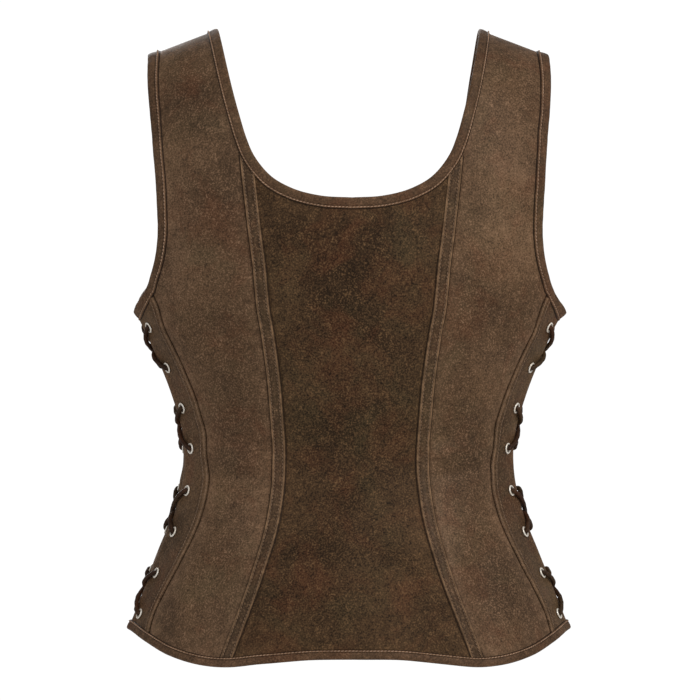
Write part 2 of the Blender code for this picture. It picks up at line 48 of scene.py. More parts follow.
CAMERA_DISTANCE = 9.0
PICTURE_WIDTH = 0.574


def placed(name, data):
    """An object that holds the data, put in the scene."""
    made = bpy.data.objects.new(name, data)
    bpy.context.scene.collection.objects.link(made)
    return made


camera_data = bpy.data.cameras.new("camera")
camera_data.lens = camera_data.sensor_width * CAMERA_DISTANCE / PICTURE_WIDTH
camera = placed("camera", camera_data)
camera.location = np.add(
    LOOK_AT, (CAMERA_DISTANCE * np.sin(CAMERA_TURN), CAMERA_DISTANCE * np.cos(CAMERA_TURN), 0))
camera.rotation_euler = (np.pi / 2, 0, np.pi - CAMERA_TURN)
bpy.context.scene.camera = camera
bpy.context.scene.view_settings.view_transform = "Standard"


def lamp(name, place, size, power, colour):
    """A square area lamp at a place, facing the top: tilted by the arc tangent of its distance aside over
    its rise."""
    data = bpy.data.lights.new(name, "AREA")
    data.size, data.energy, data.color = size, power, colour
    made = placed(name, data)
    made.location = place
    away = np.subtract(place, LOOK_AT)
    tilt = np.arctan2(np.hypot(away[0], away[1]), away[2])
    made.rotation_euler = (tilt, 0, np.arctan2(away[1], away[0]) + np.pi / 2)


lamp("key", (-1.05, 1.35, 0.75), 0.9, 17.5, (1.0, 0.96, 0.91))
lamp("fill", (1.6, 1.6, 0.35), 1.4, 8, (1.0, 0.98, 0.96))
lamp("front", (0.4, -2.4, 0.7), 1.6, 22, (1.0, 1.0, 1.0))

AMBIENT_LIGHT = 0.4
GROUND_BRIGHTNESS = 1.05
world = bpy.data.worlds.new("white_ground")
bpy.context.scene.world = world
world.use_nodes = True
sky = world.node_tree
choice = sky.nodes.new("ShaderNodeMixShader")
sky.links.new(sky.nodes.new("ShaderNodeLightPath").outputs["Is Camera Ray"], choice.inputs[0])
for socket, ground, strength in ((1, sky.nodes["Background"], AMBIENT_LIGHT),
                                 (2, sky.nodes.new("ShaderNodeBackground"), GROUND_BRIGHTNESS)):
    ground.inputs["Color"].default_value = (1, 1, 1, 1)
    ground.inputs["Strength"].default_value = strength
    sky.links.new(ground.outputs[0], choice.inputs[socket])
sky.links.new(choice.outputs[0], sky.nodes["World Output"].inputs["Surface"])


def finish_nodes(name):
    """A new material, its node tree and its shader."""
    made = bpy.data.materials.new(name)
    made.use_nodes = True
    return made, made.node_tree, made.node_tree.nodes["Principled BSDF"]


FLOOR_DROP = 0.76
FLOOR_RADIUS = 1.15
FLOOR_SIDES = 96
turns = np.linspace(0, 2 * np.pi, FLOOR_SIDES, endpoint=False)
rim = np.column_stack((np.cos(turns), np.sin(turns))) * FLOOR_RADIUS
floor_mesh = bpy.data.meshes.new("floor")
floor_mesh.from_pydata(np.column_stack((rim, np.full(FLOOR_SIDES, -FLOOR_DROP))).tolist(), [],
                       [list(range(FLOOR_SIDES))])
floor = placed("floor", floor_mesh)
floor_paint, _, paint = finish_nodes("floor_paint")
paint.inputs["Base Color"].default_value = (0.86, 0.86, 0.86, 1)
paint.inputs["Roughness"].default_value = 0.7
floor_mesh.materials.append(floor_paint)


# CENTRE PANELS
# The middle of the back and of the front, cut from the neck's scoop to the hem between the princess seams.
# They are the darkest hide, brushed like suede. The top keeps the form of a wearer, which every other piece
# is laid on.
RIDGE_INNER_X = 107.0 * MM
RIDGE_INNER_DROP = -10.0 * MM
RIDGE_SLOPE = 0.379
ARCH = 96.0 * MM
ARCH_LEVEL = ARCH * np.pi / 2
FLAT_DROP = 200.0 * MM
FLAT_LEVEL = ARCH_LEVEL + FLAT_DROP - (RIDGE_INNER_DROP + ARCH)
WAIST_DROP = 330.0 * MM
HEM_DROP = 503.0 * MM
HEM_LEVEL = FLAT_LEVEL + HEM_DROP - FLAT_DROP
BACK = 1
FRONT = -1
ROUNDNESS = 2.1
CLOTH = 1.3 * MM
SEAM_GAP = 0.02 * MM
RAW_EDGE = 1.5 * MM


def table(*rows):
    """Rows given in millimetres, as an array in metres."""
    return np.array(rows) * MM


# Rings of the form: drop, half width, depth behind and depth in front of the side line
BODY = table(
    (-60, 190, 92, 84), (60, 190, 98, 92), (110, 190, 103, 104), (150, 184, 105, 116), (185, 179, 105, 125),
    (205, 178.3, 103.5, 127), (220, 175.7, 102, 126.5), (235, 168.8, 99.5, 124), (260, 157.5, 95, 116),
    (290, 146, 90, 105), (328, 136.5, 84, 96), (350, 136.5, 84, 95), (380, 142, 92, 100),
    (417, 156, 107, 110), (456, 171.5, 119, 118), (480, 181, 125, 122), (515, 192, 131, 127),
)
HALF_WIDTH, BACK_DEPTH, FRONT_DEPTH = 1, 2, 3

# Finished edges and seams of the left half: x, drop, each from the top down
NECK = {
    BACK: table((107, -10), (104.5, 3), (100.5, 23), (96, 43), (91, 62), (84.9, 82), (80.8, 92),
                (74.6, 101.7), (65.6, 111.5), (48.4, 121.4), (25, 127.5), (0, 129)),
    FRONT: table((107, -10), (105, 8), (102, 30), (98.5, 55), (93.5, 80), (87.5, 94), (80, 108), (70, 122),
                 (53, 139), (28, 154), (0, 160)),
}
PRINCESS = {
    BACK: table((84, 109), (78, 162), (72.6, 211.6), (63, 277), (59.6, 318), (59, 359), (63.8, 392),
                (78.5, 441), (91, 474), (105, 509)),
    FRONT: table((92, 120), (90, 165), (88, 211), (74, 270), (63, 310), (59, 350), (64, 392), (78.5, 441),
                 (91, 474), (105, 509)),
}
ARMHOLE = {
    BACK: table((164.5, 11.8), (165, 30), (163.6, 55), (161.3, 80), (159.3, 105), (157.6, 135), (157, 160),
                (159.5, 180), (165.6, 200)),
    FRONT: table((164.5, 11.8), (163, 30), (159.5, 55), (155.5, 80), (153, 105), (152, 135), (154, 162),
                 (158.7, 182), (165.6, 200)),
}
SIDE_SEAM = table((157.3, 217), (150, 237), (140.7, 257), (132.6, 275.5), (125, 295), (119.4, 318),
                  (116.2, 345), (116.3, 366), (120, 383), (127.5, 403), (137.8, 425), (150, 447),
                  (160, 468), (166, 493))
HEM_TABLE = np.array([(0, 479.5), (12, 483), (24, 491), (36, 501), (48, 508), (57, 509.5), (68, 506.5),
                      (79, 503.5), (90, 503)])
HEM_LINE = np.column_stack((np.radians(HEM_TABLE[:, 0]), HEM_TABLE[:, 1] * MM))


def smooth(knots, column, at):
    """A table's column at places along its first column: cubic Hermite pieces through the rows."""
    places, values = knots[:, 0], knots[:, column]
    slopes = np.gradient(values, places)
    at = np.clip(at, places[0], places[-1])
    i = np.clip(np.searchsorted(places, at) - 1, 0, len(places) - 2)
    width = places[i + 1] - places[i]
    t = (at - places[i]) / width
    start = (1 + 2 * t) * (1 - t) ** 2 * values[i] + t * (1 - t) ** 2 * width * slopes[i]
    end = t * t * (3 - 2 * t) * values[i + 1] + t * t * (t - 1) * width * slopes[i + 1]
    return start + end


def hem_stretched(base, hem_drop):
    """A drop below the waist is scaled in line, so that the lowest level meets the hem line."""
    below = (base - WAIST_DROP) / (HEM_DROP - WAIST_DROP)
    return np.where(base > WAIST_DROP, WAIST_DROP + below * (hem_drop - WAIST_DROP), base)


def form(angle, level):
    """x, y and drop at a ring angle and a level: x = half width * cos^(2/n), y = depth * sin^(2/n), where
    the depth grows with the sine of the roll over the shoulder, and the drop with one minus its cosine."""
    roll = np.minimum(level / ARCH, np.pi / 2)
    base = RIDGE_INNER_DROP + ARCH * (1 - np.cos(roll)) + np.maximum(level - ARCH_LEVEL, 0)
    half_width = smooth(BODY, HALF_WIDTH, hem_stretched(base, HEM_LINE[0, 1]))
    cosine = np.cos(angle)
    x = half_width * np.sign(cosine) * np.abs(cosine) ** (2 / ROUNDNESS)
    on_slope = RIDGE_INNER_DROP + (np.abs(x) - RIDGE_INNER_X) * RIDGE_SLOPE + ARCH * (1 - np.cos(roll))
    ease = np.clip((level - ARCH_LEVEL) / (FLAT_LEVEL - ARCH_LEVEL), 0, 1)
    hem_drop = smooth(HEM_LINE, 1, np.abs(np.pi / 2 - np.abs(np.pi / 2 - np.abs(angle))))
    drop = np.where(level < FLAT_LEVEL, (1 - ease) * on_slope + ease * FLAT_DROP,
                    hem_stretched(base, hem_drop))
    sine = np.sin(angle)
    depth = np.where(sine > 0, smooth(BODY, BACK_DEPTH, drop), smooth(BODY, FRONT_DEPTH, drop))
    y = np.sign(sine) * depth * np.abs(sine) ** (2 / ROUNDNESS) * np.sin(roll)
    return x, y, drop


def points_on(angle, level):
    """Points of the form, with +Z up."""
    x, y, drop = form(*np.broadcast_arrays(np.asarray(angle, float), np.asarray(level, float)))
    return np.stack((x, y, -drop), axis=-1)


def unit(vectors):
    """Vectors divided by their lengths."""
    return vectors / np.linalg.norm(vectors, axis=-1, keepdims=True)


def slopes_on(angle, level, step=1e-4):
    """Central differences of the form by angle and by level."""
    by_angle = (points_on(angle + step, level) - points_on(angle - step, level)) / (2 * step)
    by_level = (points_on(angle, level + step) - points_on(angle, level - step)) / (2 * step)
    return by_angle, by_level


def normals_on(angle, level):
    """Outward unit normals: the cross product of the two slopes."""
    by_angle, by_level = slopes_on(angle, level)
    return unit(np.cross(by_level, by_angle))


def bell(distance, width):
    """A soft hump: exp(-(distance / width)^2)."""
    return np.exp(-(distance / width) ** 2)


def tail(distance, width):
    """A slow fall: exp(-distance / width)."""
    return np.exp(-distance / width)


# Soft creases of the worn top: x and drop of both ends, half width and height. A negative height is a trough.
CREASES = {
    BACK: table(
        (121, 318, 68, 332, 8, -1.5), (119, 336, 70, 346, 7, 0.9), (117, 356, 74, 360, 8, -1.1),
        (-118, 312, -66, 326, 8, -1.4), (-115, 332, -70, 338, 7, 0.8), (-113, 346, -72, 356, 8, -1.3),
        (160, 203, 108, 246, 11, -1.3), (152, 232, 100, 268, 10, 0.9), (-158, 200, -112, 238, 11, -1.2),
        (-146, 238, -98, 262, 9, 0.8), (150, 58, 114, 78, 10, -0.9), (154, 92, 112, 116, 11, 0.7),
        (-150, 74, -112, 58, 10, -1.0), (-152, 118, -108, 104, 10, 0.6), (50, 330, -46, 342, 13, -1.2),
        (-50, 368, 40, 358, 11, 0.8), (44, 150, 20, 205, 14, 0.7), (-52, 148, -30, 214, 13, -0.8),
        (128, 428, 142, 500, 12, 1.5), (104, 432, 112, 506, 11, -1.3), (-126, 424, -140, 500, 12, 1.4),
        (-102, 428, -108, 506, 11, -1.2), (42, 424, 50, 506, 15, -1.2), (-30, 430, -38, 506, 14, 1.1),
        (8, 410, 10, 506, 12, 0.6), (-66, 430, -76, 506, 11, -0.9), (68, 420, 80, 506, 9, 0.8),
        (181, 206, 181, 209, 8, 8.5), (-181, 217, -181, 220, 8, 6.4), (-142, 158, -133, 204, 4, -1.1),
    ),
    FRONT: table(
        (116, 322, 66, 330, 8, -1.3), (118, 348, 72, 352, 7, 0.8), (-119, 316, -68, 330, 8, -1.4),
        (-114, 344, -70, 352, 8, -1.0), (156, 206, 112, 250, 12, -1.2), (-158, 204, -108, 246, 11, -1.3),
        (148, 70, 112, 62, 10, -0.8), (-150, 62, -114, 76, 10, -0.9), (46, 328, -50, 338, 13, -1.1),
        (40, 364, -44, 360, 11, 0.7), (126, 430, 138, 500, 12, 1.3), (-128, 430, -140, 500, 12, 1.3),
        (100, 436, 106, 506, 11, -1.1), (-98, 430, -106, 506, 11, -1.2), (36, 430, 40, 506, 14, 1.0),
        (-44, 426, -50, 506, 14, -1.1), (0, 424, 4, 506, 12, -0.7), (140, 160, 132, 200, 5, -0.9),
        (174, 196, 178, 211, 10, -4), (-174, 196, -178, 211, 10, -4),
        (137, 326, 137, 350, 10, 1.8), (139, 362, 160, 432, 9, 2.8),
    ),
}


# At the lacing the front's edges are drawn in and the back's stand out a little: height, middle and half
# width behind the side line. This starts between two drops.
LACING_PULL = {BACK: (1.9 * MM, 16 * MM, 9 * MM), FRONT: (-3.4 * MM, 5 * MM, 22 * MM)}
PULL_DROPS = (182 * MM, 206 * MM)


def creased(points, side):
    """Height of the creases at points: for each, its height * bell(distance to its line, half width). The
    pull of the lacing is added in the same way."""
    spot = np.stack((points[..., 0], -points[..., 2]), axis=-1)[..., None, :]
    rows = CREASES[side]
    start, run = rows[:, 0:2], rows[:, 2:4] - rows[:, 0:2]
    share = np.clip(np.sum((spot - start) * run, -1) / np.sum(run * run, -1), 0, 1)
    away = np.linalg.norm(spot - start - share[..., None] * run, axis=-1)
    height = np.sum(rows[:, 5] * bell(away, rows[:, 4]), -1)
    pull, middle, reach = LACING_PULL[side]
    started = np.interp(-points[..., 2], PULL_DROPS, (0, 1))
    return height + pull * started * bell(points[..., 1] - middle, reach)


# Soft patches painted into the hide's colour: the pale ones are painted sheen and pools of light, the dark
# ones painted shade together with darker hide. x, drop, half width, half height and strength, dark below
# zero.
TONE_AND_PAINTED_LIGHT_PATCHES = {
    BACK: np.array([
        (-132, 128, 30, 55, 0.75), (148, 176, 18, 60, 0.5), (84, 392, 15, 32, 0.5),
        (90, 106, 14, 44, -0.45), (92, 300, 22, 50, -0.25), (-100, 336, 22, 38, -0.5),
        (-128, 436, 26, 50, -0.5), (-38, 158, 30, 36, -0.35), (-52, 432, 20, 36, 0.45),
        (36, 474, 34, 18, 0.45), (-50, 326, 18, 32, -0.3), (118, 60, 16, 34, -0.4),
        (-146, 38, 18, 22, -0.35), (-34, 262, 24, 40, -0.2), (132, 246, 18, 22, -0.2),
        (20, 300, 30, 60, -0.15), (150, 300, 12, 40, 0.2), (-20, 400, 26, 26, -0.25),
        (-112, 262, 16, 26, 0.25),
    ]),
    FRONT: np.array([
        (-128, 120, 28, 50, 0.5), (130, 140, 20, 44, 0.4), (86, 396, 16, 34, 0.4), (92, 300, 20, 44, -0.3),
        (-96, 334, 22, 38, -0.4), (-30, 240, 30, 44, -0.3), (44, 430, 24, 34, 0.35), (0, 320, 34, 50, -0.2),
        (124, 60, 18, 34, -0.35), (-124, 450, 24, 40, -0.35),
    ]),
}


def tone_and_painted_light_at(points, side):
    """Strength at points of the patches of painted sheen and of painted shade with darker hide, each
    strength * exp(-(dx / half width)^2 - (dy / half height)^2).
    """
    rows = TONE_AND_PAINTED_LIGHT_PATCHES[side]
    across = (points[..., None, 0] / MM - rows[:, 0]) / rows[:, 2]
    down = (-points[..., None, 2] / MM - rows[:, 1]) / rows[:, 3]
    return np.sum(rows[:, 4] * np.exp(-across ** 2 - down ** 2), -1)


def mirrored(grid, hand):
    """The grid for the wearer's left, hand 1, or right, hand -1."""
    return grid * np.array((hand, 1, 1))


def hand_creased(angle, level, height, side, hand):
    """Points at a height over the creased form of the left or the right half."""
    base = points_on(angle, level)
    lift = height + creased(mirrored(base, hand), side)
    return mirrored(base + normals_on(angle, level) * lift[..., None], hand)


def angle_at_x(x, level):
    """Ring angle of the point at an x on a level: the arc cosine of (x / widest)^(n/2)."""
    widest = form(np.zeros_like(level), level)[0]
    return np.arccos(np.clip(x / widest, 0, 1) ** (ROUNDNESS / 2))


FINDING_STEPS = 60
FINDING_SHARE = 0.7


def find(x, drop):
    """Ring angles and levels of points given by x and drop: the level is corrected by a share of what the
    drop still lacks, a number of times."""
    over = drop - (RIDGE_INNER_DROP + (x - RIDGE_INNER_X) * RIDGE_SLOPE)
    rolled = ARCH * np.arccos(np.clip(1 - over / ARCH, 0, 1))
    level = np.where(over < ARCH, rolled, ARCH_LEVEL + over - ARCH)
    for _ in range(FINDING_STEPS):
        angle = angle_at_x(x, level)
        level = np.where(over < ARCH, rolled, level + FINDING_SHARE * (drop - form(angle, level)[2]))
    return angle, level


def run_along(path):
    """Distance of each point of a path from its first point, along it."""
    return np.concatenate(([0], np.cumsum(np.linalg.norm(np.diff(path, axis=0), axis=1))))


def trace(knots, count=300):
    """Angles and levels at even steps along a smooth line through knots of x and drop."""
    lengths = run_along(knots)
    along = np.column_stack((lengths, knots))
    places = np.linspace(0, lengths[-1], count)
    return find(np.maximum(smooth(along, 1, places), 0), smooth(along, 2, places))


def cloth_edges(side):
    """The neck's scoop as angles and levels, and the panels' inner and outer edges as angle by level."""
    neck_angle, neck_level = trace(NECK[side])
    corner = int(np.argmax(neck_level >= ARCH_LEVEL))
    neck_corner = np.interp(ARCH_LEVEL, neck_level[:corner + 1], neck_angle[:corner + 1])
    scoop = np.vstack(([neck_corner, ARCH_LEVEL], np.column_stack((neck_angle, neck_level))[corner:]))
    arm_angle, arm_level = trace(ARMHOLE[side])
    princess_angle, princess_level = find(*PRINCESS[side].T)
    princess = np.column_stack((np.append(ARCH_LEVEL, princess_level),
                                np.append(neck_corner, princess_angle)))
    seam_angle, seam_level = find(*SIDE_SEAM.T)
    seam = np.column_stack((np.append(FLAT_LEVEL, seam_level), np.append(arm_angle[-1], seam_angle)))

    def inner(level):
        """Ring angles of the inner edge: the strap's, then the princess seam's."""
        strap = np.interp(level, neck_level[:corner + 1], neck_angle[:corner + 1])
        return np.where(level < ARCH_LEVEL, strap, smooth(princess, 1, level))

    def outer(level):
        """Ring angles of the outer edge: the armhole's, then the side seam's."""
        return np.where(level < FLAT_LEVEL, np.interp(level, arm_level, arm_angle), smooth(seam, 1, level))

    return {"scoop": scoop, "inner": inner, "outer": outer}


edges = {side: cloth_edges(side) for side in (BACK, FRONT)}


def by_width(inner, outer, share):
    """Angles at shares of the width between two edges: straight mixing of cos^(2/n)."""
    start, end = (np.cos(edge) ** (2 / ROUNDNESS) for edge in (inner, outer))
    return np.arccos((start * (1 - share) + end * share) ** (ROUNDNESS / 2))


def crowded(count, gather=0.86):
    """Shares from 0 to 1 that lie closer towards both ends: s - gather * sin(2 pi s) / 2 pi."""
    share = np.linspace(0, 1, count)
    return share - gather * np.sin(2 * np.pi * share) / (2 * np.pi)


def scoop_places(side, count):
    """Angles and levels at even steps along the scoop of the neck, from its corner to the middle."""
    lengths = run_along(points_on(*edges[side]["scoop"].T))
    places = np.linspace(0, lengths[-1], count)
    return [np.interp(places, lengths, edges[side]["scoop"][:, i]) for i in (0, 1)]


def add(name, points, faces, finish, smooth_angle=50):
    """A piece with its place in its mesh, smooth but for edges sharper than an angle."""
    mesh = bpy.data.meshes.new(name)
    mesh.from_pydata(points.tolist(), [], faces)
    mesh.polygons.foreach_set("use_smooth", np.ones(len(faces), bool))
    mesh.set_sharp_from_angle(angle=np.radians(smooth_angle))
    for one in finish:
        mesh.materials.append(one)
    return placed(name, mesh)


def painted(piece, title, values):
    """A number for each point of a piece, kept as an attribute."""
    piece.data.attributes.new(title, "FLOAT", "POINT").data.foreach_set(
        "value", np.ravel(values).astype(np.float32))


def cloth(name, outer, inner, finish, side, wear_and_shade, keep=None):
    """Closed sheet: an outer and an inner grid of points, with walls along the edges and round each hole.
    The inner side has the second finish. One attribute says how rubbed each point is, or below zero how much
    painted shade lies along its seam or edge; the other how much painted sheen lies there, or below zero
    painted shade with darker hide."""
    rows, columns = outer.shape[:2]
    count = rows * columns
    ids = np.arange(count).reshape(rows, columns)
    quads = np.stack((ids[:-1, :-1], ids[:-1, 1:], ids[1:, 1:], ids[1:, :-1]), axis=-1)
    facing = np.cross(outer[:-1, 1:] - outer[:-1, :-1], outer[1:, :-1] - outer[:-1, :-1])
    if np.sum(facing * (outer - inner)[:-1, :-1]) < 0:
        quads = quads[..., ::-1]
    quads = quads.reshape(-1, 4)
    if keep is not None:
        quads = quads[keep.ravel()]
    sides = np.concatenate([quads[:, [i, (i + 1) % 4]] for i in range(4)])
    low, high = np.sort(sides, axis=1).T
    _, first, times = np.unique(low * count + high, return_index=True, return_counts=True)
    edge = sides[first[times == 1]]
    walls = np.column_stack((edge[:, 1], edge[:, 0], edge[:, 0] + count, edge[:, 1] + count))
    faces = np.concatenate((quads, quads[:, ::-1] + count, walls))
    points = np.concatenate((outer.reshape(-1, 3), inner.reshape(-1, 3)))
    used, faces = np.unique(faces, return_inverse=True)
    faces = faces.reshape(-1, 4)
    piece = add(name, points[used], faces.tolist(), finish)
    inside = np.zeros(len(faces), np.int32)
    inside[len(quads):2 * len(quads)] = 1
    piece.data.polygons.foreach_set("material_index", inside)
    painted(piece, "wear_and_shade", np.concatenate((wear_and_shade.ravel(), np.zeros(count)))[used])
    # patches of painted sheen, and of painted shade with darker hide
    painted(piece, "tint", tone_and_painted_light_at(points[used], side))
    return piece


def sewn_in(piece, slot, *nodes):
    """The piece, moving with the top, shown in place of the named solids. The slot is not used."""
    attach(piece, "root")
    if nodes:
        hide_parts(*nodes)
    return piece


def panel(name, slot, grid, height, side, hand, finish, wear_and_shade, under=0.0, keep=None):
    """A panel on a grid of angles and levels: its outer skin at a height over the form, its inner one a
    cloth's thickness under it."""
    outer, inner = (hand_creased(*grid, lift, side, hand) for lift in (height, under - CLOTH))
    piece = cloth(f"{name}_panel", outer, inner, (finish, flesh_side), side, wear_and_shade, keep)
    return sewn_in(piece, slot, name)


def from_edges(grid):
    """Distance of each grid point, along its row and along its column, from the first and last of both."""
    across = np.cumsum(np.linalg.norm(np.diff(grid, axis=1, prepend=grid[:, :1]), axis=-1), axis=1)
    down = np.cumsum(np.linalg.norm(np.diff(grid, axis=0, prepend=grid[:1]), axis=-1), axis=0)
    return across, across[:, -1:] - across, down, down[-1:] - down


PRESSED_FROM_SEAM = 6.1 * MM
PRESSED_DEPTH = 0.75 * MM
PRESSED_WIDTH = 1.0 * MM
SEAM_ROLL = 0.9 * MM
SEAM_ROLL_WIDTH = 1.6 * MM


def rolled(distance):
    """How far the cloth turns down beside a seam."""
    return SEAM_ROLL * bell(distance, SEAM_ROLL_WIDTH)


def pressed(distance, side):
    """Valley drawn by the stitches along the boning channels of the back."""
    return (side == BACK) * PRESSED_DEPTH * bell(distance - PRESSED_FROM_SEAM, PRESSED_WIDTH)


def rubbed(distances, seams, ends):
    """Wear that fades away from seams and ends: each has a strength and a width in millimetres."""
    near, far, top, bottom = distances
    return (seams[0] * tail(np.minimum(near, far), seams[1] * MM)
            + ends[0] * tail(np.minimum(top, bottom), ends[1] * MM))


def marks(distance, rows):
    """Pale lines of wear along an edge, or lines of painted shade of negative strength: place, width in mm
    and strength.
    """
    return sum(strength * bell(distance - place * MM, width * MM) for place, width, strength in rows)


def colour(red, green, blue):
    """A colour as it shows on a screen, from 0 to 255, turned into light: ((c/255 + 0.055) / 1.055)^2.4."""
    return tuple(((np.array((red, green, blue)) / 255 + 0.055) / 1.055) ** 2.4) + (1.0,)


def node(tree, kind, items, **settings):
    """The first output of a new shader node. Each item is an input's name or number with the value it holds
    or the socket it follows."""
    made = tree.nodes.new(f"ShaderNode{kind}")
    for title, value in settings.items():
        setattr(made, title, value)
    for title, item in items:
        named = [socket for socket in made.inputs if socket.enabled and socket.name == title]
        socket = named[0] if named else made.inputs[title]
        if isinstance(item, bpy.types.NodeSocket):
            tree.links.new(item, socket)
        else:
            socket.default_value = item
    return [socket for socket in made.outputs if socket.enabled][0]


def noise(tree, vector, scale, detail=4.0, rough=0.55, warp=0.0):
    """Noise at a number of lumps a metre."""
    return node(tree, "TexNoise", (("Vector", vector), ("Scale", scale), ("Detail", detail),
                                   ("Roughness", rough), ("Distortion", warp)))


def between(tree, value, low, high, to_low=0.0, to_high=1.0):
    """A value spread from one range to another and held inside it."""
    return node(tree, "MapRange", (("Value", value), ("From Min", low), ("From Max", high),
                                   ("To Min", to_low), ("To Max", to_high)))


def blended(tree, share, first, second):
    """Two colours mixed by a share."""
    return node(tree, "Mix", (("Factor", share), ("A", first), ("B", second)), data_type="RGBA")


def hide_group():
    """Distressed hide. Over a body clouded with dark lie, in this order, patches of painted sheen and of
    painted shade with darker hide, reddish and olive patches, pale and dark grains, rubbed places and painted
    shade along seams, grooves and raw edges. Its height is 1.4 times a noise less 0.7 times the distance to a
    pebble's middle."""
    group = bpy.data.node_groups.new("distressed_hide", "ShaderNodeTree")
    for titles, kind in ((("Body", "Dark", "Rubbed_and_sheen"), "Color"), (("Wear_and_shade", "Tint", "Grain"), "Float")):
        for title in titles:
            group.interface.new_socket(title, in_out="INPUT", socket_type=f"NodeSocket{kind}")
    for title, kind in (("Color", "Color"), ("Roughness", "Float"), ("Height", "Float")):
        group.interface.new_socket(title, in_out="OUTPUT", socket_type=f"NodeSocket{kind}")
    body, dark, pale, wear_and_shade, tint, grain = list(group.nodes.new("NodeGroupInput").outputs)[:6]
    end = group.nodes.new("NodeGroupOutput")
    where = group.nodes.new("ShaderNodeTexCoord").outputs["Object"]

    def span(value, *limits):
        """A value spread from one range to another."""
        return between(group, value, *limits)

    def times(*factors):
        """Values and numbers multiplied."""
        product = factors[0]
        for factor in factors[1:]:
            product = node(group, "Math", ((0, product), (1, factor)), operation="MULTIPLY")
        return product

    cloud = span(noise(group, where, 14, 5, 0.6, 0.4), 0.38, 0.64)
    middle = span(noise(group, where, 130, 4, 0.65), 0.4, 0.66)
    fine = noise(group, where, 720, 2, 0.75)
    tone = blended(group, times(cloud, 0.6), body, dark)
    for share, top in (
            # patches of painted sheen, then patches of painted shade with darker hide
            (times(span(tint, 0, 1), span(cloud, 0, 1, 0.75, 0.35)), pale),
            (times(span(tint, 0, -1), span(fine, 0.6, 0.42, 0.5, 1)), dark),
            (span(noise(group, where, 26, 5, 0.62, 0.7), 0.5, 0.68, 0, 0.42), colour(98, 58, 38)),
            (span(noise(group, where, 17, 4, 0.55, 0.5), 0.5, 0.32, 0, 0.3), colour(86, 76, 52)),
            (times(span(fine, 0.52, 0.63), grain, span(middle, 0, 1, 0.25, 1)), pale),
            (times(span(fine, 0.49, 0.37), grain, span(middle, 0, 1, 1, 0.3)), dark),
            (times(wear_and_shade, span(middle, 0.1, 0.9, 0.35, 1)), pale),
            # painted shade along seams, grooves and raw edges, where the wear runs below zero
            (span(wear_and_shade, 0, -1, 0, 0.85), colour(30, 20, 13))):
        tone = blended(group, share, tone, top)
    group.links.new(tone, end.inputs["Color"])
    group.links.new(span(cloud, 0, 1, 0.52, 0.66), end.inputs["Roughness"])
    pebble = node(group, "TexVoronoi", (("Vector", where), ("Scale", 560)), feature="SMOOTH_F1")
    lumps = noise(group, where, 330, 4, 0.65)
    height = node(group, "Math", ((0, times(pebble, -0.7)), (1, times(lumps, 1.4))), operation="ADD")
    group.links.new(height, end.inputs["Height"])
    return group


distressed_hide = hide_group()


LITTLE_SHINE = 0.1
PEBBLING = 0.8


def hide(name, body, dark, rubbed, grain, wear_and_shade=True, depth=0.25, rise=0.5):
    """A leather finish from the hide group. Its rubbed colour also paints the patches of painted sheen, and
    its dark colour the patches of painted shade. Grain says how speckled it looks, depth how deep its
    pebbling is in millimetres, and rise adds to its roughness."""
    made, tree, shader = finish_nodes(name)
    skin = tree.nodes.new("ShaderNodeGroup")
    skin.node_tree = distressed_hide
    for title, shade in (("Body", body), ("Dark", dark), ("Rubbed_and_sheen", rubbed)):
        skin.inputs[title].default_value = colour(*shade)
    skin.inputs["Grain"].default_value = grain
    for title in ("wear_and_shade", "tint") if wear_and_shade else ():
        kept = tree.nodes.new("ShaderNodeAttribute")
        kept.attribute_name = title
        tree.links.new(kept.outputs["Fac"], skin.inputs[title.capitalize()])
    tree.links.new(skin.outputs["Color"], shader.inputs["Base Color"])
    tree.links.new(between(tree, skin.outputs["Roughness"], 0, 1, rise - 0.5, rise + 0.5),
                   shader.inputs["Roughness"])
    shader.inputs["Specular IOR Level"].default_value = LITTLE_SHINE
    bump = node(tree, "Bump", (("Strength", PEBBLING), ("Distance", depth * MM),
                               ("Height", skin.outputs["Height"])))
    tree.links.new(bump, shader.inputs["Normal"])
    return made


suede = hide("centre_leather", (73, 54, 36), (30, 21, 14), (118, 90, 62), 1.0, depth=0.34, rise=0.6)
flesh_side = hide("flesh_side", (92, 72, 52), (66, 51, 37), (124, 100, 76), 0.5, wear_and_shade=False, rise=0.7)

CENTRE_ROWS = (70, 150)
CENTRE_HALF = 52
SCOOP_STEPS = 400
STEEPEST = 0.35
CENTRE_WEAR = (0.5, 7), (0.35, 16)


def pulled(grid, distance):
    """A grid of angles and levels whose first row is moved down its columns, square to its line by a
    distance. The rows under it are spaced anew."""
    points = points_on(*grid)
    line = unit(np.gradient(points[0], axis=0))
    step = unit(points[2] - points[0])
    slant = np.maximum(np.linalg.norm(np.cross(step, line), axis=-1), STEEPEST)
    down = np.cumsum(np.linalg.norm(np.diff(points, axis=0, prepend=points[:1]), axis=-1), axis=0)
    rows = np.linspace(0, 1, len(down))[:, None]
    at = distance / slant + rows * (down[-1] - distance / slant)
    columns = range(down.shape[1])
    return [np.stack([np.interp(at[:, i], down[:, i], one[:, i]) for i in columns], axis=1) for one in grid]


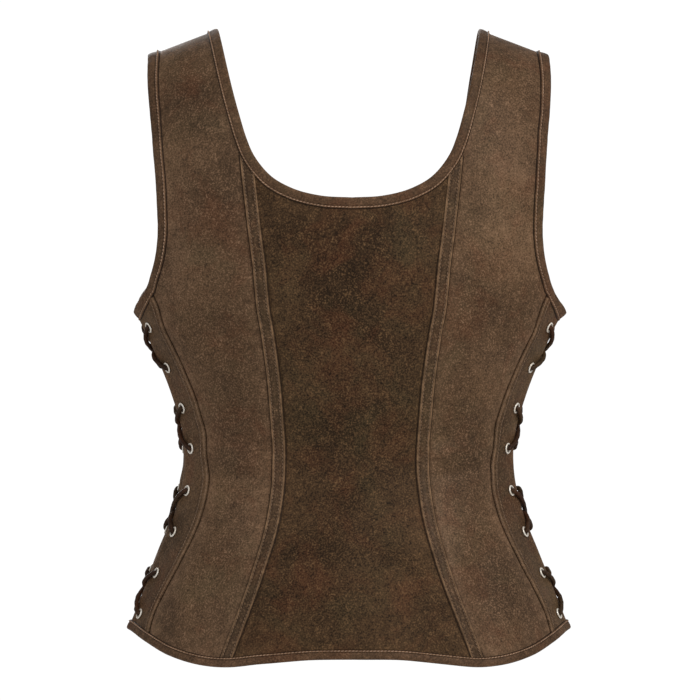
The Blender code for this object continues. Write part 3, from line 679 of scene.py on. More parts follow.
def centre_panel(name, side):
    """Rows mix from the scoop's line to the level at its foot, then follow plain levels to the hem. Columns
    share the width between the seam and the middle."""
    share = crowded(2 * CENTRE_HALF + 1)[:CENTRE_HALF + 1] * 2
    down = np.linspace(0, 1, CENTRE_ROWS[0] + 1)[:, None]
    scoop_angle, scoop_level = (np.interp(share, np.linspace(0, 1, SCOOP_STEPS), one)
                                for one in scoop_places(side, SCOOP_STEPS))
    foot = edges[side]["inner"](np.array([[FLAT_LEVEL]]))
    foot = by_width(foot, np.full((1, 1), np.pi / 2), share)
    angle = (1 - down) * scoop_angle + down * foot
    level = (1 - down) * scoop_level + down * FLAT_LEVEL
    angle[:, 0] = edges[side]["inner"](level[:, 0])
    angle, level = pulled((angle, level), RAW_EDGE)
    lower = np.linspace(FLAT_LEVEL, HEM_LEVEL - RAW_EDGE, CENTRE_ROWS[1])[1:, None] + 0 * share
    seam = edges[side]["inner"](lower[:, :1])
    angle = np.concatenate((angle, by_width(seam, np.full_like(seam, np.pi / 2), share)))
    level = np.concatenate((level, lower))
    inset = SEAM_GAP / form(angle[:, :1], level[:, :1])[0]
    angle = angle + (np.pi / 2 - angle) * inset * (1 - share)
    angle = side * np.column_stack((angle, np.pi - angle[:, -2::-1]))
    level = np.column_stack((level, level[:, -2::-1]))
    distances = from_edges(points_on(angle, level))
    left, right = distances[:2]
    height = -rolled(left) - rolled(right) - pressed(left, side) - pressed(right, side)
    wear_and_shade = rubbed(distances, *CENTRE_WEAR)
    return panel(name, "centre_leather", (angle, level), height, side, 1, suede, wear_and_shade)


centre_back = centre_panel("centre_back", BACK)
centre_front = centre_panel("centre_front", FRONT)


# SIDE PANELS
# Four long pieces, each cut in one from the shoulder seam over the strap, past the armhole and down to the
# hem. The hide is paler and smoother than the centre's. A line of painted shade runs down the felled seam at
# its outer edge.
SIDE_ROWS = 270
SIDE_COLUMNS = 66
# Painted shade down the felled seam
SEAM_SHADE_LINE = ((0, 0.6, -0.75),)
SIDE_WEAR = (0.45, 9), (0.3, 18)
side_hide = hide("side_leather", (101, 77, 55), (46, 34, 24), (150, 118, 92), 0.8, depth=0.26, rise=0.42)


def side_panel(name, side, hand):
    """Rows follow the levels from shoulder seam to hem. Columns share the width between both edges."""
    levels = np.concatenate((np.linspace(SEAM_GAP * 2, FLAT_LEVEL, SIDE_ROWS // 2, endpoint=False),
                             np.linspace(FLAT_LEVEL, HEM_LEVEL - RAW_EDGE, SIDE_ROWS - SIDE_ROWS // 2)))
    inner_edge, outer_edge = edges[side]["inner"](levels), edges[side]["outer"](levels)
    span = np.linalg.norm(points_on(inner_edge, levels) - points_on(outer_edge, levels), axis=-1)
    first = np.where(levels < ARCH_LEVEL, RAW_EDGE, SEAM_GAP) / span
    last = 1 - np.where(levels < FLAT_LEVEL, RAW_EDGE, SEAM_GAP) / span
    share = first[:, None] + (last - first)[:, None] * crowded(SIDE_COLUMNS)
    angle = side * by_width(inner_edge[:, None], outer_edge[:, None], share)
    level = np.repeat(levels[:, None], SIDE_COLUMNS, axis=1)
    distances = from_edges(points_on(angle, level))
    near, far, top = distances[:3]
    height = -(rolled(near) + pressed(near, side)) * (level > ARCH_LEVEL)
    height = height - rolled(far) * (level > FLAT_LEVEL) - rolled(top)
    # edge wear, and painted shade down the felled seam
    wear_and_shade = rubbed(distances, *SIDE_WEAR) + marks(far, SEAM_SHADE_LINE) * (level > FLAT_LEVEL)
    return panel(name, "side_leather", (angle, level), height, side, hand, side_hide, wear_and_shade)


HANDS = {"L": 1, "R": -1}
WORDS = {"back": BACK, "front": FRONT}


def four(make, title):
    """A piece made for each side and hand, under its name."""
    return {f"{title}_{word}_{letter}": make(f"{title}_{word}_{letter}", side, hand)
            for word, side in WORDS.items() for letter, hand in HANDS.items()}


side_panels = four(side_panel, "side")


# LACING PANELS
# Four doubled strips at the sides, felled to the side panels and folded at the open side. The folded seam
# makes a low band beside the seam, and the lace draws small puckers from each eyelet.
GAP_WIDTH = 11.0 * MM
GAP_BEHIND_SIDE = 12.0 * MM
EYELET_ROWS = 8
EYELET_FIRST_DROP = 234.0 * MM
EYELET_SPACING = 33.0 * MM
EYELET_FROM_EDGE = 11.0 * MM
HOLE_RADIUS = 3.3 * MM
TIP_DROP = 220.0 * MM
FELL_WIDTH = 6.2 * MM
FELL_HEIGHT = 0.55 * MM
FELL_STEP_WIDTH = 0.35 * MM
PUCKER_WIDTH = 3.5 * MM
PUCKER_LENGTH = 14.0 * MM
PUCKER_START = 6.0 * MM
SWELL_FROM_GAP = 5.0 * MM
SWELL_WIDTH = 3.5 * MM
TOP_INSET = 1.15 * RAW_EDGE
GAP_WEAR = 0.5
GAP_WEAR_WIDTH = 4.0 * MM
FOLD_UNDER = 0.35 * MM
LACING_ROWS = 180
LACING_COLUMNS = 38
LEVEL_STEPS = 30
SLANT_ENDS_BELOW = 60.0 * MM
FOLD_ROUND = 1.1 * MM
FOLD_ROUND_WIDTH = 1.5 * MM
SWELL = 0.5 * MM
PUCKER = 0.55 * MM
# Painted shade along the folded edge at the gap
GAP_SHADE_MARKS = ((0, 0.8, -0.9),)
# Pale lines of wear on the fell, and painted shade in the seam and below the fell's step
SEAM_WEAR_AND_SHADE_MARKS = ((1.9, 0.9, 1.1), (0, 0.6, -0.75), (6.2, 0.9, 0.6), (7.8, 0.8, -0.5))
lacing_hide = hide("lacing_leather", (98, 75, 54), (48, 36, 25), (138, 109, 83), 0.75, depth=0.24, rise=0.45)


def level_at(angle, drop):
    """Level of the point below the shoulders at a ring angle and a drop, found by repeated correction."""
    level = FLAT_LEVEL + drop - FLAT_DROP
    for _ in range(LEVEL_STEPS):
        level = level + drop - form(angle, level)[2]
    return level


def lacing_angle(across, level):
    """Ring angle of the point a distance behind the gap's middle: the arc sine of (y / depth)^(n/2)."""
    y = GAP_BEHIND_SIDE + across
    drop = form(np.zeros_like(level), level)[2]
    depth = np.where(y > 0, smooth(BODY, BACK_DEPTH, drop), smooth(BODY, FRONT_DEPTH, drop))
    return np.sign(y) * np.arcsin((np.abs(y) / depth) ** (ROUNDNESS / 2))


def eyelet_places(side):
    """Ring angles and levels of the eight eyelets beside the gap, from the top down."""
    drops = EYELET_FIRST_DROP + EYELET_SPACING * np.arange(EYELET_ROWS)
    level = level_at(np.zeros(EYELET_ROWS), drops)
    return lacing_angle(np.full(EYELET_ROWS, side * (GAP_WIDTH / 2 + EYELET_FROM_EDGE)), level), level


def lacing_lines(side, levels):
    """Ring angles of a lacing panel's seam and of its edge at the gap."""
    return (side * edges[side]["outer"](levels),
            lacing_angle(np.full_like(levels, side * GAP_WIDTH / 2), levels))


def lacing_top(side):
    """Level at the gap where the panel's slanted top ends."""
    flat = np.array([FLAT_LEVEL])
    return level_at(lacing_lines(side, flat)[1], np.array([TIP_DROP]))[0]


def puckers(points, side):
    """Small troughs that run from each eyelet towards the seam: bell(fall) * tail(distance behind it), left
    out close to the eyelet."""
    spots = points_on(*eyelet_places(side))
    away = np.linalg.norm(points[..., None, :] - spots, axis=-1)
    fall = np.abs(points[..., None, 2] - spots[:, 2])
    behind = side * (points[..., None, 1] - spots[:, 1])
    trough = bell(fall, PUCKER_WIDTH) * tail(np.maximum(behind, 0), PUCKER_LENGTH) * (behind > 0)
    return -PUCKER * np.sum(trough * (1 - bell(away, PUCKER_START)), axis=-1)


def felled(distance):
    """Height of the folded seam beside the seam line: a flat band with a soft step, height / (1 + exp)."""
    return FELL_HEIGHT / (1 + np.exp((distance - FELL_WIDTH) / FELL_STEP_WIDTH))


def lacing_height(angle, level, side, from_seam, from_gap):
    """Fell, puckers, the round of the folded edge and the swell behind it together."""
    turned = FOLD_ROUND * bell(from_gap, FOLD_ROUND_WIDTH)
    swell = SWELL * bell(from_gap - SWELL_FROM_GAP, SWELL_WIDTH)
    return felled(from_seam) + puckers(points_on(angle, level), side) + swell - turned - rolled(from_seam)


def lacing_panel(name, side, hand):
    """Rows mix from the slanted top to plain levels, and columns from the side seam to the gap."""
    share = crowded(LACING_COLUMNS)[None]
    levels = np.linspace(FLAT_LEVEL, HEM_LEVEL - RAW_EDGE, LACING_ROWS)
    tip = lacing_top(side)
    blend = np.clip((levels - FLAT_LEVEL) / SLANT_ENDS_BELOW, 0, 1)[:, None]
    top = FLAT_LEVEL + (tip - FLAT_LEVEL) * share + TOP_INSET
    level = np.where(blend < 1, top + (FLAT_LEVEL + SLANT_ENDS_BELOW - top) * blend, levels[:, None])
    seam, gap = lacing_lines(side, level)
    span = np.linalg.norm(points_on(seam, level) - points_on(gap, level), axis=-1)
    inset = SEAM_GAP / span
    angle = seam + (gap - seam) * (inset + share * (1 - inset))
    base = points_on(angle, level)
    from_seam, from_gap = from_edges(base)[:2]
    height = lacing_height(angle, level, side, from_seam, from_gap)
    spots = points_on(*eyelet_places(side))
    centres = (base[:-1, :-1] + base[1:, 1:]) / 2
    keep = np.min(np.linalg.norm(centres[..., None, :] - spots, axis=-1), axis=-1) > HOLE_RADIUS
    wear_and_shade = GAP_WEAR * tail(from_gap, GAP_WEAR_WIDTH)
    # painted shade along the folded edge, in the seam and below the fell's step, with pale lines of wear
    wear_and_shade = wear_and_shade + marks(from_gap, GAP_SHADE_MARKS) + marks(from_seam, SEAM_WEAR_AND_SHADE_MARKS)
    under = FOLD_UNDER * bell(from_gap, FOLD_ROUND_WIDTH)
    return panel(name, "lacing_leather", (angle, level), height, side, hand, lacing_hide, wear_and_shade, under, keep)


lacing_panels = four(lacing_panel, "lacing")


# BINDINGS
# Strips of the same hide folded over the neck, the armholes and the hem, and stitched through both legs
# near their raw edge. The stitched edge stands up as a pale ridge, with painted shade along the raw edge
# beside it and in the groove next to the ridge.
NECK_BINDING_WIDTH = 9.0 * MM
ARMHOLE_BINDING_WIDTH = 9.5 * MM
HEM_BINDING_WIDTH = 7.5 * MM
# Section of the fold: share of the leg's width for places under the legs, then the height over the cloth
# The first points, past the leg's width, make a low foot by the raw edge that carries painted shade.
FOLD_SECTION = np.array([
    (1.09, 0.1), (1.07, 0.3), (1.02, 0.6), (0.985, 1.05), (0.945, 1.38), (0.9, 1.45), (0.855, 1.3),
    (0.81, 0.98), (0.77, 0.9), (0.7, 1.05), (0.52, 1.28), (0.34, 1.34), (0.19, 1.24), (0.08, 0.9),
    (0.012, 0.3), (-0.012, -0.65), (0.012, -1.6), (0.08, -2.25), (0.19, -2.55), (0.52, -2.6), (0.85, -2.45),
    (0.99, -2.5), (1.0, -1.9), (0.85, -1.75), (0.3, -1.7), (0.14, -1.4), (0.11, -0.65), (0.14, -0.1),
    (0.3, 0.1),
])
STITCHED_AT = 0.9
# Wear of the fold by height, then of its lines: from and to a share of the leg's width, and their wear,
# where values below zero are painted shade along the raw edge and in the groove beside the ridge
FOLD_WEAR = np.array([(-3, 0.05), (-0.7, 0.4), (0.3, 0.45), (1.4, 0.15)])
FOLD_WEAR_AND_SHADE_LINES = ((0.84, 0.96, 1.0), (1.0, 1.1, -1.0), (0.76, 0.82, -0.3))
RIPPLE = 0.09 * MM
SHORT_RIPPLE, LONG_RIPPLE = 0.9, 0.071
EDGE_SHARE = 0.3
SHARP_FOLD = 70
STRAP_STEPS, NECK_SCOOP_STEPS, ARM_STEPS, TIP_STEPS, HEM_STEPS = 80, 120, 160, 30, 500
bound_hide = hide("binding_leather", (88, 66, 48), (44, 32, 22), (132, 101, 76), 0.8, depth=0.2, rise=0.45)


def wound(stations, corners, ring=False):
    """Quads that join each closed section of points to the next, and in a ring the last to the first."""
    ids = np.arange(stations * corners).reshape(stations, corners)
    ids = np.column_stack((ids, ids[:, 0]))
    if ring:
        ids = np.vstack((ids, ids[:1]))
    return np.stack((ids[:-1, :-1], ids[:-1, 1:], ids[1:, 1:], ids[1:, :-1]), axis=-1).reshape(-1, 4)


def inside_out(points, quads, middle):
    """Whether quads face their middle: the sum of a . (b x c) + a . (c x d), six times their volume, is
    below zero."""
    a, b, c, d = (points[quads[:, i]] - middle for i in range(4))
    return np.sum(a * np.cross(b, c)) + np.sum(a * np.cross(c, d)) < 0


def tube(name, grid, finish, ring=False, sharp=50):
    """Closed surface: a closed section, along the second axis, carried along the first, with flat ends."""
    stations, corners = grid.shape[:2]
    points = grid.reshape(-1, 3)
    quads = wound(stations, corners, ring)
    faces = quads.tolist()
    if not ring:
        faces += [list(range(corners))[::-1], list(range((stations - 1) * corners, stations * corners))]
    if inside_out(points, quads, points.mean(axis=0)):
        faces = [face[::-1] for face in faces]
    return add(name, points, faces, finish, sharp)


def evened(places, step):
    """A path of angles, levels and sides taken at even steps of length."""
    lengths = run_along(points_on(*places[:2]))
    at = np.linspace(0, lengths[-1], int(lengths[-1] / step) + 1)
    return [np.interp(at, lengths, one) for one in places]


def leg_turns(angle, level, into):
    """Change of angle and level that moves a point one metre along a direction, by least squares."""
    by_angle, by_level = slopes_on(angle, level)
    aa, al, ll = (np.sum(p * q, -1) for p, q in
                  ((by_angle, by_angle), (by_angle, by_level), (by_level, by_level)))
    ia, il = np.sum(by_angle * into, -1), np.sum(by_level * into, -1)
    whole = aa * ll - al * al
    return (ia * ll - il * al) / whole, (il * aa - ia * al) / whole


def softly(values, times, ring):
    """Values evened out with their neighbours a number of times."""
    for _ in range(times):
        before, after = np.roll(values, 1, axis=0), np.roll(values, -1, axis=0)
        if not ring:
            before[0], after[-1] = values[0], values[-1]
        values = (before + 2 * values + after) / 4
    return values


SOFTENED_TIMES = 6


def over_edge(places, inwards, ring=False):
    """Frames along an edge: its points, outward normals, ways into the cloth and turns for one metre."""
    angle, level, side = places
    edge = points_on(angle, level)
    if ring:
        ahead = np.roll(edge, -1, axis=0) - np.roll(edge, 1, axis=0)
    else:
        ahead = np.gradient(edge, axis=0)
    out = normals_on(angle, level)
    into = unit(softly(inwards * unit(np.cross(out, ahead)), SOFTENED_TIMES, ring))
    turn_angle, turn_level = leg_turns(angle, level, into)
    return edge, out, into, turn_angle, turn_level


def both_sides_creased(points, side):
    """Creases where a path passes from the front to the back: each side's own by the sign of the path."""
    share = (np.clip(side, -1, 1) + 1) / 2
    return creased(points, BACK) * share + creased(points, FRONT) * (1 - share)


def binding(name, places, width, hand, inwards, ring=False):
    """The fold section carried along an edge: legs follow the form, and the fold hangs over the edge. Its
    outside ripples by the product of a short and a long sine of the station."""
    angle, level, side = places
    edge, out, into, turn_angle, turn_level = over_edge(places, inwards, ring)
    reach = FOLD_SECTION[:, 0] * width
    height = FOLD_SECTION[:, 1] * MM
    length = np.arange(len(edge))[:, None]
    ripple = RIPPLE * np.sin(length * SHORT_RIPPLE) * np.sin(length * LONG_RIPPLE + 1)
    ripple = ripple * (FOLD_SECTION[:, 1] > 0)
    leg_angle = angle[:, None] + turn_angle[:, None] * reach
    leg_level = level[:, None] + turn_level[:, None] * reach
    on_form = points_on(leg_angle, leg_level)
    normal = normals_on(leg_angle, leg_level)
    near = np.clip(1 - reach / (EDGE_SHARE * width), 0, 1)[None, :, None]
    straight = edge[:, None] + into[:, None] * reach[:, None]
    base = on_form * (1 - near) + straight * near
    normal = unit(normal * (1 - near) + out[:, None] * near)
    lift = height + ripple + both_sides_creased(mirrored(on_form, hand), side[:, None])
    piece = tube(f"{name}_strip", mirrored(base + normal * lift[..., None], hand), (bound_hide,), ring,
                 sharp=SHARP_FOLD)
    share, rise = FOLD_SECTION.T
    # Wear of the fold, with pale lines of wear and lines of painted shade along the raw edge and in the
    # groove
    rub_and_shade = np.interp(rise, *FOLD_WEAR.T)
    for start, stop, wear in FOLD_WEAR_AND_SHADE_LINES:
        rub_and_shade = np.where((share > start) & (share < stop) & (rise > 0), wear, rub_and_shade)
    painted(piece, "wear_and_shade", np.broadcast_to(rub_and_shade, base.shape[:2]))
    return sewn_in(piece, "binding_leather", name)


def sided(angle, level, side):
    """A path's angles, levels and sides together."""
    return [angle, level, np.full_like(angle, side)]


def neck_run(side):
    """From the left shoulder down the strap's edge, along the scoop, and up to the right shoulder."""
    strap = np.linspace(0, ARCH_LEVEL, STRAP_STEPS)[:-1]
    scoop_angle, scoop_level = scoop_places(side, NECK_SCOOP_STEPS)
    angle = np.concatenate((edges[side]["inner"](strap), scoop_angle))
    level = np.concatenate((strap, scoop_level))
    whole = np.concatenate((angle, np.pi - angle[-2::-1]))
    return sided(side * whole, np.concatenate((level, level[-2::-1])), side)


def arm_run(side):
    """From the shoulder down the armhole's edge to the side seam, then along the lacing panel to its tip."""
    strap = np.linspace(0, FLAT_LEVEL, ARM_STEPS)[:-1]
    share = np.linspace(0, 1, TIP_STEPS)
    top = FLAT_LEVEL + (lacing_top(side) - FLAT_LEVEL) * share
    seam, gap = lacing_lines(side, top)
    angle = np.concatenate((side * edges[side]["outer"](strap), seam + (gap - seam) * share))
    return sided(angle, np.concatenate((strap, top)), side)


def hem_run(side):
    """Along the hem, from the left lacing edge to the right one."""
    gap = lacing_lines(side, np.array([HEM_LEVEL]))[1][0]
    angle = np.linspace(gap, side * np.pi - gap, HEM_STEPS)
    return sided(angle, np.full_like(angle, HEM_LEVEL), side)


STATION = 1.6 * MM


def front_to_back(run):
    """A path that comes up the front to the shoulder and goes down the back."""
    front, back = (evened(run(side), STATION) for side in (FRONT, BACK))
    return [np.concatenate((up[::-1][:-1], down)) for up, down in zip(front, back)]


neck_places = [one[:-1] for one in front_to_back(neck_run)]
neck_binding = binding("neck_binding", neck_places, NECK_BINDING_WIDTH, 1, -1, ring=True)
arm_places = front_to_back(arm_run)
for letter, hand in HANDS.items():
    binding(f"armhole_binding_{letter}", arm_places, ARMHOLE_BINDING_WIDTH, hand, 1)
hem_places = {word: evened(hem_run(side), STATION) for word, side in WORDS.items()}
hem_bindings = {word: binding(f"hem_binding_{word}", hem_places[word], HEM_BINDING_WIDTH, 1, side)
                for word, side in WORDS.items()}


# BONING CHANNELS
# Two flat tapes of the side panels' hide over the back's princess seams, stitched along both edges over a
# flat bone, which lifts the middle. Their ends are caught under the bindings.
CHANNEL_START = table(83.6, 100)
# Section: place across from the seam towards the side, height over the cloth
# Its foot runs down into the pressed valley beside the tape and carries painted shade there.
HALF_CHANNEL = table((0, 1.18), (1.3, 1.1), (2.5, 0.85), (3.1, 0.62), (3.5, 0.8), (3.9, 1.2), (4.35, 1.4),
                     (4.8, 1.28), (5.05, 0.9), (5.25, 0.3), (5.7, -0.4), (6.1, -0.62), (4.6, 0.0),
                     (2.5, 0.1))
LOWER_CORNERS = 2
left_channel = HALF_CHANNEL[:0:-1] * (-1, 1)
CHANNEL_SECTION = np.concatenate((left_channel[LOWER_CORNERS:], HALF_CHANNEL, left_channel[:LOWER_CORNERS]))
CHANNEL_STITCH = 3.15 * MM
CHANNEL_STATIONS = 300
# Wear by distance from the channel's middle in millimetres; below zero it is painted shade in the stitched
# grooves and at the tape's edges
CHANNEL_WEAR_AND_SHADE = np.array([(0, 0.1), (2.4, 0.05), (3.1, -0.45), (3.6, 0.7), (4.4, 1.0), (5.0, 0.85),
                         (5.3, -0.5), (5.7, -1)])
CHANNEL_RIPPLE = 0.06 * MM
CHANNEL_RIPPLE_TURN = 1.1
CHANNEL_TOP = 0.5 * MM
CHANNEL_TUCK = 1.5 * MM
CHANNEL_SLANT = 1.3
SLANT_FADE = 30.0 * MM
PRESSED_LENGTH = 11.0 * MM
PRESSED_LEAST = 0.2
channel_hide = hide("channel_leather", (76, 58, 42), (46, 34, 23), (142, 112, 84), 0.75, depth=0.2, rise=0.45)


def across_channel(across):
    """Ring angles and levels beside the seam line, from under the neck binding to under the hem binding.
    The first row slants along the neck binding."""
    start = find(*CHANNEL_START[:, None])[1][0]
    levels = np.linspace(start, HEM_LEVEL - HEM_BINDING_WIDTH + CHANNEL_TUCK, CHANNEL_STATIONS)
    level = levels[:, None] + np.zeros(len(across))
    fade = np.clip(1 - (levels - levels[0]) / SLANT_FADE, 0, 1)[:, None]
    level = level - fade * np.asarray(across) * CHANNEL_SLANT
    x = form(edges[BACK]["inner"](level), level)[0] + across
    return angle_at_x(x, level), level


def boning_channel(name, hand):
    """The channel section carried down the princess seam, pressed flat towards both ends. Its top ripples
    by the sine of the station."""
    angle, level = across_channel(CHANNEL_SECTION[:, 0])
    whole = HEM_LEVEL - ARCH_LEVEL
    down = np.linspace(0, 1, CHANNEL_STATIONS)[:, None] * whole
    height = CHANNEL_SECTION[:, 1] * np.clip(np.minimum(down, whole - down) / PRESSED_LENGTH,
                                             PRESSED_LEAST, 1)
    ripple = CHANNEL_RIPPLE * np.sin(np.arange(CHANNEL_STATIONS) * CHANNEL_RIPPLE_TURN)[:, None]
    height = height + ripple * (CHANNEL_SECTION[:, 1] > CHANNEL_TOP)
    piece = tube(f"{name}_tape", hand_creased(angle, level, height, BACK, hand), (channel_hide,),
                 sharp=SHARP_FOLD)
    # pale wear on the raised edges, painted shade in the stitched grooves and at the tape's edges
    rub_and_shade = np.interp(np.abs(CHANNEL_SECTION[:, 0]) / MM, *CHANNEL_WEAR_AND_SHADE.T)
    painted(piece, "wear_and_shade", np.broadcast_to(rub_and_shade, angle.shape))
    return sewn_in(piece, "channel_leather", name)


channels = [boning_channel(f"channel_back_{letter}", hand) for letter, hand in HANDS.items()]


# STITCHING
# Lockstitch in a thread a little paler than the hide: one row round each binding, one along each edge of the
# channels, two beside each felled side seam and one beside each princess seam of the front.
STITCH_PITCH = 2.9 * MM
STITCH_LENGTH = 2.3 * MM
STITCH_SLANT = 0.22 * MM
BINDING_THREAD = 0.4 * MM
SEAM_THREAD = 0.3 * MM
THREAD_SIDES = 5
STITCH_RISE = 1.35 * MM
CHANNEL_STITCH_RISE = 0.55 * MM
FELL_ROWS = (1.5 * MM, 5.3 * MM)
PRINCESS_ROW = 3.2 * MM
FELL_ROW_TOP = FLAT_LEVEL + 13.0 * MM
FELL_ROW_STEPS = 300
PRINCESS_ROW_TOP = ARCH_LEVEL + 40.0 * MM
PRINCESS_ROW_STEPS = 400
# Along half a stitch: place, thickness and height over its ends
STITCH_SHAPE = np.array([(-1, 0.25, 0.0), (-0.6, 0.9, 0.75), (0, 1, 1), (0.6, 0.9, 0.75), (1, 0.25, 0.0)])


def cotton(name, light, dark):
    """A matt thread, mottled between two colours."""
    made, tree, shader = finish_nodes(name)
    where = tree.nodes.new("ShaderNodeTexCoord").outputs["Object"]
    shade = blended(tree, between(tree, noise(tree, where, 90), 0.35, 0.65), colour(*light), colour(*dark))
    tree.links.new(shade, shader.inputs["Base Color"])
    shader.inputs["Roughness"].default_value = 0.6
    return made


pale_thread = cotton("pale_thread", (182, 148, 122), (140, 110, 86))
dull_thread = cotton("dull_thread", (148, 118, 92), (110, 86, 65))


def stitches(path, out, thickness):
    """Points and faces of a row of stitches. Each is a round section carried along a short piece of the
    path, thin and low at its ends: point = path + side * r cos + out * (r sin + rise)."""
    lengths = run_along(path)
    count = int(lengths[-1] / STITCH_PITCH)
    middle = (np.arange(count) + 0.5) * STITCH_PITCH
    at = middle[:, None] + STITCH_SHAPE[:, 0] * STITCH_LENGTH / 2
    spot, up = (np.stack([np.interp(at, lengths, column) for column in one.T], axis=-1)
                for one in (path, out))
    up = unit(up)
    ahead = unit(np.gradient(spot, axis=1))
    beside = unit(np.cross(up, ahead))
    spot = spot + beside * STITCH_SHAPE[:, 0, None] * STITCH_SLANT
    turn = np.linspace(0, 2 * np.pi, THREAD_SIDES, endpoint=False)
    radius = STITCH_SHAPE[:, 1, None] * thickness
    rise = STITCH_SHAPE[:, 2, None] * thickness
    points = (spot[:, :, None] + beside[:, :, None] * (radius * np.cos(turn))[..., None]
              + up[:, :, None] * (radius * np.sin(turn) + rise)[..., None])
    quads = np.roll(wound(len(STITCH_SHAPE), THREAD_SIDES)[:, ::-1], 1, axis=1)
    size = STITCH_SHAPE[:, 0].size * THREAD_SIDES
    ends = np.stack((np.arange(THREAD_SIDES), np.arange(size - 1, size - 1 - THREAD_SIDES, -1)))
    faces = []
    for some in (quads, ends):
        faces += (some + (np.arange(count) * size)[:, None, None]).reshape(-1, some.shape[1]).tolist()
    return points.reshape(-1, 3), faces


def sewing(name, rows, finish=dull_thread, thickness=SEAM_THREAD):
    """Rows of stitches joined into one piece. Each row is a path and its outward directions."""
    points, faces, count = [], [], 0
    for path, out in rows:
        some, quads = stitches(path, out, thickness)
        points.append(some)
        faces += [[corner + count for corner in face] for face in quads]
        count += len(some)
    piece = add(name, np.concatenate(points), faces, (finish,), smooth_angle=180)
    return sewn_in(piece, "lace_cord")


def along_binding(places, width, hand, inwards, ring=False):
    """Path of the stitches on a binding's ridge, and its outward directions."""
    angle, level, side = places
    turn_angle, turn_level = over_edge(places, inwards, ring)[3:]
    reach = STITCHED_AT * width
    at = angle + turn_angle * reach, level + turn_level * reach
    base, normal = points_on(*at), normals_on(*at)
    lift = STITCH_RISE + both_sides_creased(mirrored(base, hand), side)
    path, out = mirrored(base + normal * lift[:, None], hand), mirrored(normal, hand)
    if ring:
        path, out = np.vstack((path, path[:1])), np.vstack((out, out[:1]))
    return path, out


def sewn_at(angle, level, height, side, hand):
    """Path at a height over the creased form, and its outward directions."""
    return hand_creased(angle, level, height, side, hand), mirrored(normals_on(angle, level), hand)


def beside_seam(side, hand, distance, height):
    """Path on a lacing panel a distance from its seam, from under the armhole binding to the hem binding."""
    levels = np.linspace(FELL_ROW_TOP, HEM_LEVEL - HEM_BINDING_WIDTH, FELL_ROW_STEPS)
    seam, gap = lacing_lines(side, levels)
    span = np.linalg.norm(points_on(seam, levels) - points_on(gap, levels), axis=-1)
    angle = seam + (gap - seam) * distance / span
    return sewn_at(angle, levels, height + puckers(points_on(angle, levels), side), side, hand)


def beside_princess(hand):
    """Path beside a princess seam of the front, from under the neck binding to the hem binding."""
    levels = np.linspace(PRINCESS_ROW_TOP, HEM_LEVEL - HEM_BINDING_WIDTH, PRINCESS_ROW_STEPS)
    x = form(edges[FRONT]["inner"](levels), levels)[0] + PRINCESS_ROW
    return sewn_at(-angle_at_x(x, levels), levels, 0, FRONT, hand)


BOUND = (pale_thread, BINDING_THREAD)
sewing("neck_stitches", [along_binding(neck_places, NECK_BINDING_WIDTH, 1, -1, ring=True)], *BOUND)
for letter, hand in HANDS.items():
    sewing(f"armhole_stitches_{letter}", [along_binding(arm_places, ARMHOLE_BINDING_WIDTH, hand, 1)], *BOUND)
    beside = across_channel(np.array((-1, 1)) * CHANNEL_STITCH)
    sewing(f"channel_stitches_{letter}", [sewn_at(angle, level, CHANNEL_STITCH_RISE, BACK, hand)
                                          for angle, level in zip(*(one.T for one in beside))])
    for word, side in WORDS.items():
        sewing(f"seam_stitches_{word}_{letter}", [
            beside_seam(side, hand, FELL_ROWS[0], FELL_HEIGHT - rolled(FELL_ROWS[0])),
            beside_seam(side, hand, FELL_ROWS[1], FELL_HEIGHT)])
    sewing(f"princess_stitches_front_{letter}", [beside_princess(hand)])
for word, side in WORDS.items():
    sewing(f"hem_stitches_{word}", [along_binding(hem_places[word], HEM_BINDING_WIDTH, 1, side)], *BOUND)


# EYELETS
# Thirty-two pressed rings of dulled nickel, each with a domed flange outside, a barrel through the cloth
# and a rolled back. They are set in pairs down the open sides.
EYELET_LIFT = 0.2 * MM
EYELET_TURNS = 28
# Section: radius, height over the cloth
EYELET_SECTION = table((3.1, 0.1), (3.25, 0.6), (3.5, 0.93), (3.85, 1.0), (4.2, 0.85), (4.45, 0.5),
                       (4.6, 0.12), (4.45, 0.0), (3.15, 0.0), (3.1, -0.4), (3.1, -1.4), (3.5, -1.6),
                       (4.2, -1.7), (4.3, -1.95), (3.8, -2.2), (3.1, -2.3), (2.85, -2.0))
nickel, tree, metal = finish_nodes("eyelet_nickel")
where = tree.nodes.new("ShaderNodeTexCoord").outputs["Object"]
tarnish = between(tree, noise(tree, where, 420, 5, 0.65), 0.42, 0.68)
tree.links.new(blended(tree, tarnish, colour(255, 250, 240), colour(222, 206, 184)),
               metal.inputs["Base Color"])
tree.links.new(between(tree, tarnish, 0, 1, 0.2, 0.42), metal.inputs["Roughness"])
metal.inputs["Metallic"].default_value = 0.2


